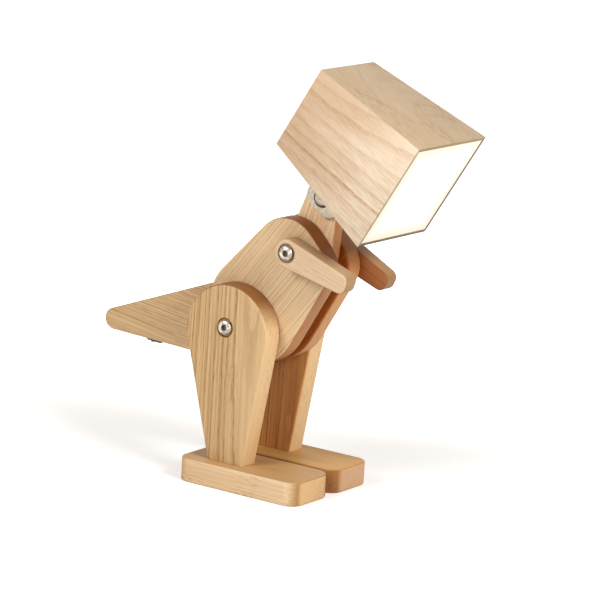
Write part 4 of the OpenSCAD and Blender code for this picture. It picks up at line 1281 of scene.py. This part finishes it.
def bar(tree, sides, radius, depth, height):
    """An upright bar with its middle at a height."""
    mesh = add_node(tree, "GeometryNodeMeshCylinder", {"Vertices": sides, "Radius": radius, "Depth": depth})
    return shifted(tree, mesh.outputs["Mesh"], height)


def cone(tree, low_r, high_r, depth, height):
    """An upright cone with its foot at a height."""
    mesh = add_node(tree, "GeometryNodeMeshCone", {"Vertices": HEAD_SIDES, "Radius Top": high_r,
                                                   "Radius Bottom": low_r, "Depth": depth})
    return shifted(tree, mesh.outputs["Mesh"], height)


print("a fastener has", len(FASTENER_SIZES), "sizes")

# %% [markdown]
# Head, crown and shank are joined, and the dish and the hex socket are cut out. A spun profile would
# give the round parts in one go, but not the hexagon.

# %% Head, shank and socket
SHANK_SIDES = 48
HEX_SIDES = 6
DISH_FLOOR = 0.54
CROWN_STEP = 0.3


def cut_or_join(tree, operation, meshes, base=None):
    """One mesh from several, joined, or cut out of a base."""
    values = {} if base is None else {"Mesh 1": base}
    node = add_node(tree, "GeometryNodeMeshBoolean", values, operation=operation, solver="EXACT")
    for mesh in meshes:
        tree.links.new(mesh, node.inputs["Mesh 2"])
    return node.outputs["Mesh"]


def fastener_blank(tree, entry):
    """Head, crown and shank in one. The head stands on the seat, and the shank goes down from it."""
    edge, head_r = entry["Edge"], entry["Head Radius"]
    side = maths(tree, "SUBTRACT", entry["Head Height"], edge)
    half_edge = maths(tree, "MULTIPLY", edge, 0.5)
    crown_r = maths(tree, "MULTIPLY_ADD", edge, -CROWN_STEP, head_r)
    face_r = maths(tree, "SUBTRACT", head_r, edge)
    head = bar(tree, HEAD_SIDES, head_r, side, maths(tree, "MULTIPLY", side, 0.5))
    shoulder = cone(tree, head_r, crown_r, half_edge, side)
    crown = cone(tree, crown_r, face_r, half_edge, maths(tree, "ADD", side, half_edge))
    shank_len = entry["Shank Length"]
    shank = bar(tree, SHANK_SIDES, entry["Shank Radius"], shank_len,
                maths(tree, "MULTIPLY", shank_len, -0.5))
    return cut_or_join(tree, "UNION", (head, shoulder, crown, shank))


def fastener_solid(tree, entry):
    """The blank with its dish and hex socket cut out."""
    head_h, hex_w, dish_d = entry["Head Height"], entry["Hex Width"], entry["Dish Depth"]
    hexagon = bar(tree, HEX_SIDES, maths(tree, "MULTIPLY", hex_w, 0.5),
                  maths(tree, "MULTIPLY", entry["Hex Depth"], 2), head_h)
    floor_r = maths(tree, "MULTIPLY", hex_w, DISH_FLOOR)
    mouth_r = maths(tree, "SUBTRACT", maths(tree, "MULTIPLY", entry["Dish Radius"], 2), floor_r)
    dish = cone(tree, floor_r, mouth_r, maths(tree, "MULTIPLY", dish_d, 2),
                maths(tree, "SUBTRACT", head_h, dish_d))
    return cut_or_join(tree, "DIFFERENCE", (hexagon, dish), fastener_blank(tree, entry))


print("heads have", HEAD_SIDES, "sides and shanks", SHANK_SIDES)

# %% [markdown]
# The faces inside the socket are marked while the solid is still upright, and get a painted shadow
# after it is turned and set on its seat. The tree makes its instance real, because the finished
# lamp holds none.

# %% The whole recipe
HEX_SHADOW_R = 0.47
HEX_SHADOW_FROM = 0.0001


def in_socket(tree, entry):
    """1 on the faces inside the hex socket, and 0 elsewhere."""
    place = add_node(tree, "GeometryNodeInputPosition").outputs[0]
    apart = add_node(tree, "ShaderNodeSeparateXYZ", {0: place}).outputs
    squares = maths(tree, "ADD", maths(tree, "POWER", apart[0], 2), maths(tree, "POWER", apart[1], 2))
    inside = maths(tree, "LESS_THAN", maths(tree, "SQRT", squares),
                   maths(tree, "MULTIPLY", entry["Hex Width"], HEX_SHADOW_R))
    below = maths(tree, "LESS_THAN", apart[2],
                  maths(tree, "SUBTRACT", entry["Head Height"], HEX_SHADOW_FROM))
    above = maths(tree, "GREATER_THAN", apart[2], 0.0)
    return maths(tree, "MULTIPLY", maths(tree, "MULTIPLY", inside, below), above)


def fastener_tree():
    tree = bpy.data.node_groups.new("socket_fastener", "GeometryNodeTree")
    entry = recipe_sockets(tree)
    marked = add_node(tree, "GeometryNodeStoreNamedAttribute",
                      {"Geometry": fastener_solid(tree, entry), "Name": "in_hex",
                       "Value": in_socket(tree, entry)}, data_type="FLOAT", domain="FACE")
    turn = add_node(tree, "FunctionNodeAlignRotationToVector", {"Vector": entry["Way Out"]}, axis="Z")
    seats = add_node(tree, "GeometryNodeInstanceOnPoints",
                     {"Points": entry["Geometry"], "Instance": marked.outputs[0],
                      "Rotation": turn.outputs[0]})
    real = add_node(tree, "GeometryNodeRealizeInstances", {0: seats.outputs[0]})
    shiny = add_node(tree, "GeometryNodeSetMaterial",
                     {"Geometry": real.outputs[0], "Material": entry["Metal"]})
    mark = add_node(tree, "GeometryNodeInputNamedAttribute", {"Name": "in_hex"}, data_type="FLOAT")
    dark = add_node(tree, "GeometryNodeSetMaterial",
                    {"Geometry": shiny.outputs[0], "Material": entry["Shadow"],
                     "Selection": maths(tree, "GREATER_THAN", mark.outputs[0], 0.5)})
    add_node(tree, "NodeGroupOutput", {0: dark.outputs[0]})
    return tree


FASTENER = fastener_tree()
print("fastener recipe has", len(FASTENER.nodes), "nodes")

# %% [markdown]
# A fastener is the recipe on a single point, worked into a plain mesh. The hip and shoulder bolts
# meet their barrel nuts in the left limb, and both heads sit in the limbs' recesses.

# %% Bolts and nuts
BOLT_R = 3.0
BOLT_HEAD = (5.6, 3.0, 1.4)
SLEEVE_R = 4.2
HEX = (4.6, 2.2)
DISH = (3.4, 0.5)
HEAD_WASHER_T = 0.8
BOLT_SHORT = 2


def fastener(name, seat, way, sizes, steel):
    """A fastener seated at a point in millimetres, facing along Y: sizes follow FASTENER_SIZES."""
    mesh = bpy.data.meshes.new(name + "_seat")
    mesh.from_pydata([seat * MM], [], [])
    holder = add_object(name + "_seat", mesh)
    recipe = holder.modifiers.new("recipe", "NODES")
    recipe.node_group = FASTENER
    names = {item.name: item.identifier for item in FASTENER.interface.items_tree if item.in_out == "INPUT"}
    for label, size in zip(FASTENER_SIZES, sizes):
        recipe[names[label]] = size * MM
    recipe[names["Way Out"]] = (0, way, 0)
    recipe[names["Metal"]] = steel
    recipe[names["Shadow"]] = socket_dark
    holder.update_tag()
    shaped = holder.evaluated_get(bpy.context.evaluated_depsgraph_get())
    plain = bpy.data.meshes.new_from_object(shaped)
    bpy.data.objects.remove(holder)
    plain.name = name
    smooth(plain)
    return add_object(name, plain)


def cross_fasteners(name, pivot, limb_t, steel):
    """The bolt in the right limb's recess, and the barrel nut that meets it in the left limb's."""
    seat = LIMB_IN + limb_t - RECESS_DEPTH + HEAD_WASHER_T
    shanks = {"_bolt": (-1, BOLT_R, seat * 2 - BOLT_SHORT), "_nut": (1, SLEEVE_R, seat - LIMB_IN)}
    for kind, (way, shank_r, shank_len) in shanks.items():
        sizes = (*BOLT_HEAD, shank_r, shank_len, *HEX, *DISH)
        piece = fastener(name + kind + "_steel", pivot + Vector((0, way * seat, 0)), way, sizes, steel)
        dress(piece, "torso", "satin_steel", name + kind)


cross_fasteners("hip", HIP, LEG_T, bolt_steel)
cross_fasteners("shoulder", SHOULDER, ARM_T, shoulder_steel)

# %% [markdown]
# The head bolt is smaller and flatter, and comes from the same recipe. A thin dark ring round its
# head, on the bracket's cheek, is painted shadow of the gap round the head. It isn't like any other
# piece, so it is made of rings by hand.

# %% Head bolt and collar
CHEEK_OUT = 8.4
HEAD_BOLT = (6.0, 1.4, 0.9)
HEAD_BOLT_R = 2.5
HEAD_BOLT_LEN = 21.5
HEAD_HEX = (3.6, 1.2)
HEAD_DISH = (2.4, 0.3)
SHADOW_RING = (5.8, 7.2, 0.3)


def shadow_ring(name, spot, start, way):
    """A thin dark ring about the Y axis, with a broken outer edge: painted shadow round the head bolt."""
    inner, outer, thick = SHADOW_RING
    profile = [(inner, 0), (outer, 0), (outer, thick / 2), (outer - thick / 2, thick), (inner, thick)]
    bm = bmesh.new()
    rings = [[bm.verts.new(point) for point in circle((spot.x, spot.z), r, start + way * y)]
             for r, y in profile]
    join_rings(bm, rings + rings[:1])
    return finish_mesh(bm, name, Matrix.Identity(4), ring_shadow_dark)


head_sizes = (*HEAD_BOLT, HEAD_BOLT_R, HEAD_BOLT_LEN, *HEAD_HEX, *HEAD_DISH)
head_bolt = fastener("head_bolt_steel", HEAD + Vector((0, -CHEEK_OUT, 0)), -1, head_sizes, head_steel)
dress(head_bolt, "head", "satin_steel", "head_bolt")
head_shadow_ring = shadow_ring("head_bolt_shadow_ring", HEAD, -CHEEK_OUT, -1)
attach(head_shadow_ring, "head")
print(head_shadow_ring.name, len(head_shadow_ring.data.polygons), "faces on head")

# %% [markdown]
# ## Bracket
# A strip of sheet metal is bent to a U: two cheeks hold the neck, and the plate between them is
# screwed under the shade. It could be cut from a block, but a bent sheet keeps one thickness round
# its bends. So it is drawn as a thin surface along the bend, thickened by a modifier, and its rim
# is broken by a bevel.

# %% Bent bracket
BRACKET_BACK = 13.5
BRACKET_FRONT = 16.0
BRACKET_LOW = 10.0
BRACKET_CORNER_R = 8.5
BRACKET_T = 2.4
BEND_INSIDE_R = 1.0
BEND_STEPS = 8
CORNER_STEPS = 10
LENGTH_STEPS = 12
BRACKET_BEVEL = 0.3
BEVEL_ANGLE = 50
floor_place = Matrix.Translation(HEAD) @ Matrix.Rotation(radians(SHADE_PITCH) + shade_taper, 4, "Y")


def bend_path(low):
    """Points (y, z) from the foot of one cheek, over the bends, to the foot of the other."""
    bend_r = BEND_INSIDE_R + BRACKET_T
    rise = [(-CHEEK_OUT, low + BRACKET_CORNER_R * (1 - cos(pi / 2 * k / CORNER_STEPS)))
            for k in range(CORNER_STEPS + 1)]
    for k in range(BEND_STEPS + 1):
        turn = pi / 2 * k / BEND_STEPS
        rise.append((-CHEEK_OUT + bend_r * (1 - cos(turn)), HEAD_DROP - bend_r + bend_r * sin(turn)))
    return rise + [(-y, z) for y, z in reversed(rise)]


def bracket():
    bm = bmesh.new()
    rows = []
    for y, z in bend_path(-BRACKET_LOW):
        short = max(0.0, BRACKET_CORNER_R - (z + BRACKET_LOW))
        inset = BRACKET_CORNER_R - sqrt(BRACKET_CORNER_R ** 2 - short ** 2)
        first, last = inset - BRACKET_BACK, BRACKET_FRONT - inset
        steps = [first + (last - first) * k / LENGTH_STEPS for k in range(LENGTH_STEPS + 1)]
        rows.append([bm.verts.new((x, y, z)) for x in steps])
    for lower, upper in zip(rows, rows[1:]):
        for i in range(LENGTH_STEPS):
            bm.faces.new((lower[i], lower[i + 1], upper[i + 1], upper[i]))
    piece = finish_mesh(bm, "bracket_sheet", floor_place, sheet_steel)
    thick = piece.modifiers.new("thickness", "SOLIDIFY")
    thick.thickness = BRACKET_T * MM
    thick.offset = -1
    rim = piece.modifiers.new("rim", "BEVEL")
    rim.width = BRACKET_BEVEL * MM
    rim.segments = 2
    rim.limit_method = "ANGLE"
    rim.angle_limit = radians(BEVEL_ANGLE)
    return as_plain(piece)


dress(bracket(), "head", "satin_steel", "head_bracket")

# %% [markdown]
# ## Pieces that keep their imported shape
# Washers, screws, leads, the switch and the light source inside the shade are small or hidden, and
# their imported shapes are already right. They could be modelled again, but a finish made with the
# same groups is enough.

# %% Finishes for the small pieces
FINISHES = {
    plastic("fibre_washer", srgb(70, 58, 46), 1400.0, 0.7):
        ("hip_limb_washers", "shoulder_limb_washers", "tail_washers", "neck_washers", "head_washers"),
    plastic("lead_rubber", srgb(36, 34, 33), 900.0, 0.6):
        ("tail_lead", "body_lead", "neck_lead", "head_lead", "led_leads"),
    plastic("black_plastic", srgb(44, 42, 41), 2600.0, 0.4): ("switch_housing", "power_socket"),
    plastic("rocker_plastic", srgb(196, 190, 182), 2600.0, 0.3): ("switch_rocker",),
    plastic("white_plastic", srgb(236, 234, 228), 2200.0, 0.45): ("led_board", "led_posts", "led_driver"),
    plastic("diode_yellow", srgb(240, 216, 130), 3000.0, 0.25): ("led_chips",),
    metal("screw_steel", STEEL, seed=12.0):
        ("left_foot_screws", "right_foot_screws", "head_nut", "bracket_screws", "led_screws"),
    # The head washers are brown as painted shade in the bolt recesses
    metal("washer_recess_shade", WASHER_RECESS_SHADE, seed=14.0): ("hip_head_washers", "shoulder_head_washers"),
}
for finish, names in FINISHES.items():
    for node_name in names:
        mesh = frame["nodes"][node_name].data
        mesh.materials.clear()
        mesh.materials.append(finish)
print("finished", sum(len(names) for names in FINISHES.values()), "packed pieces")
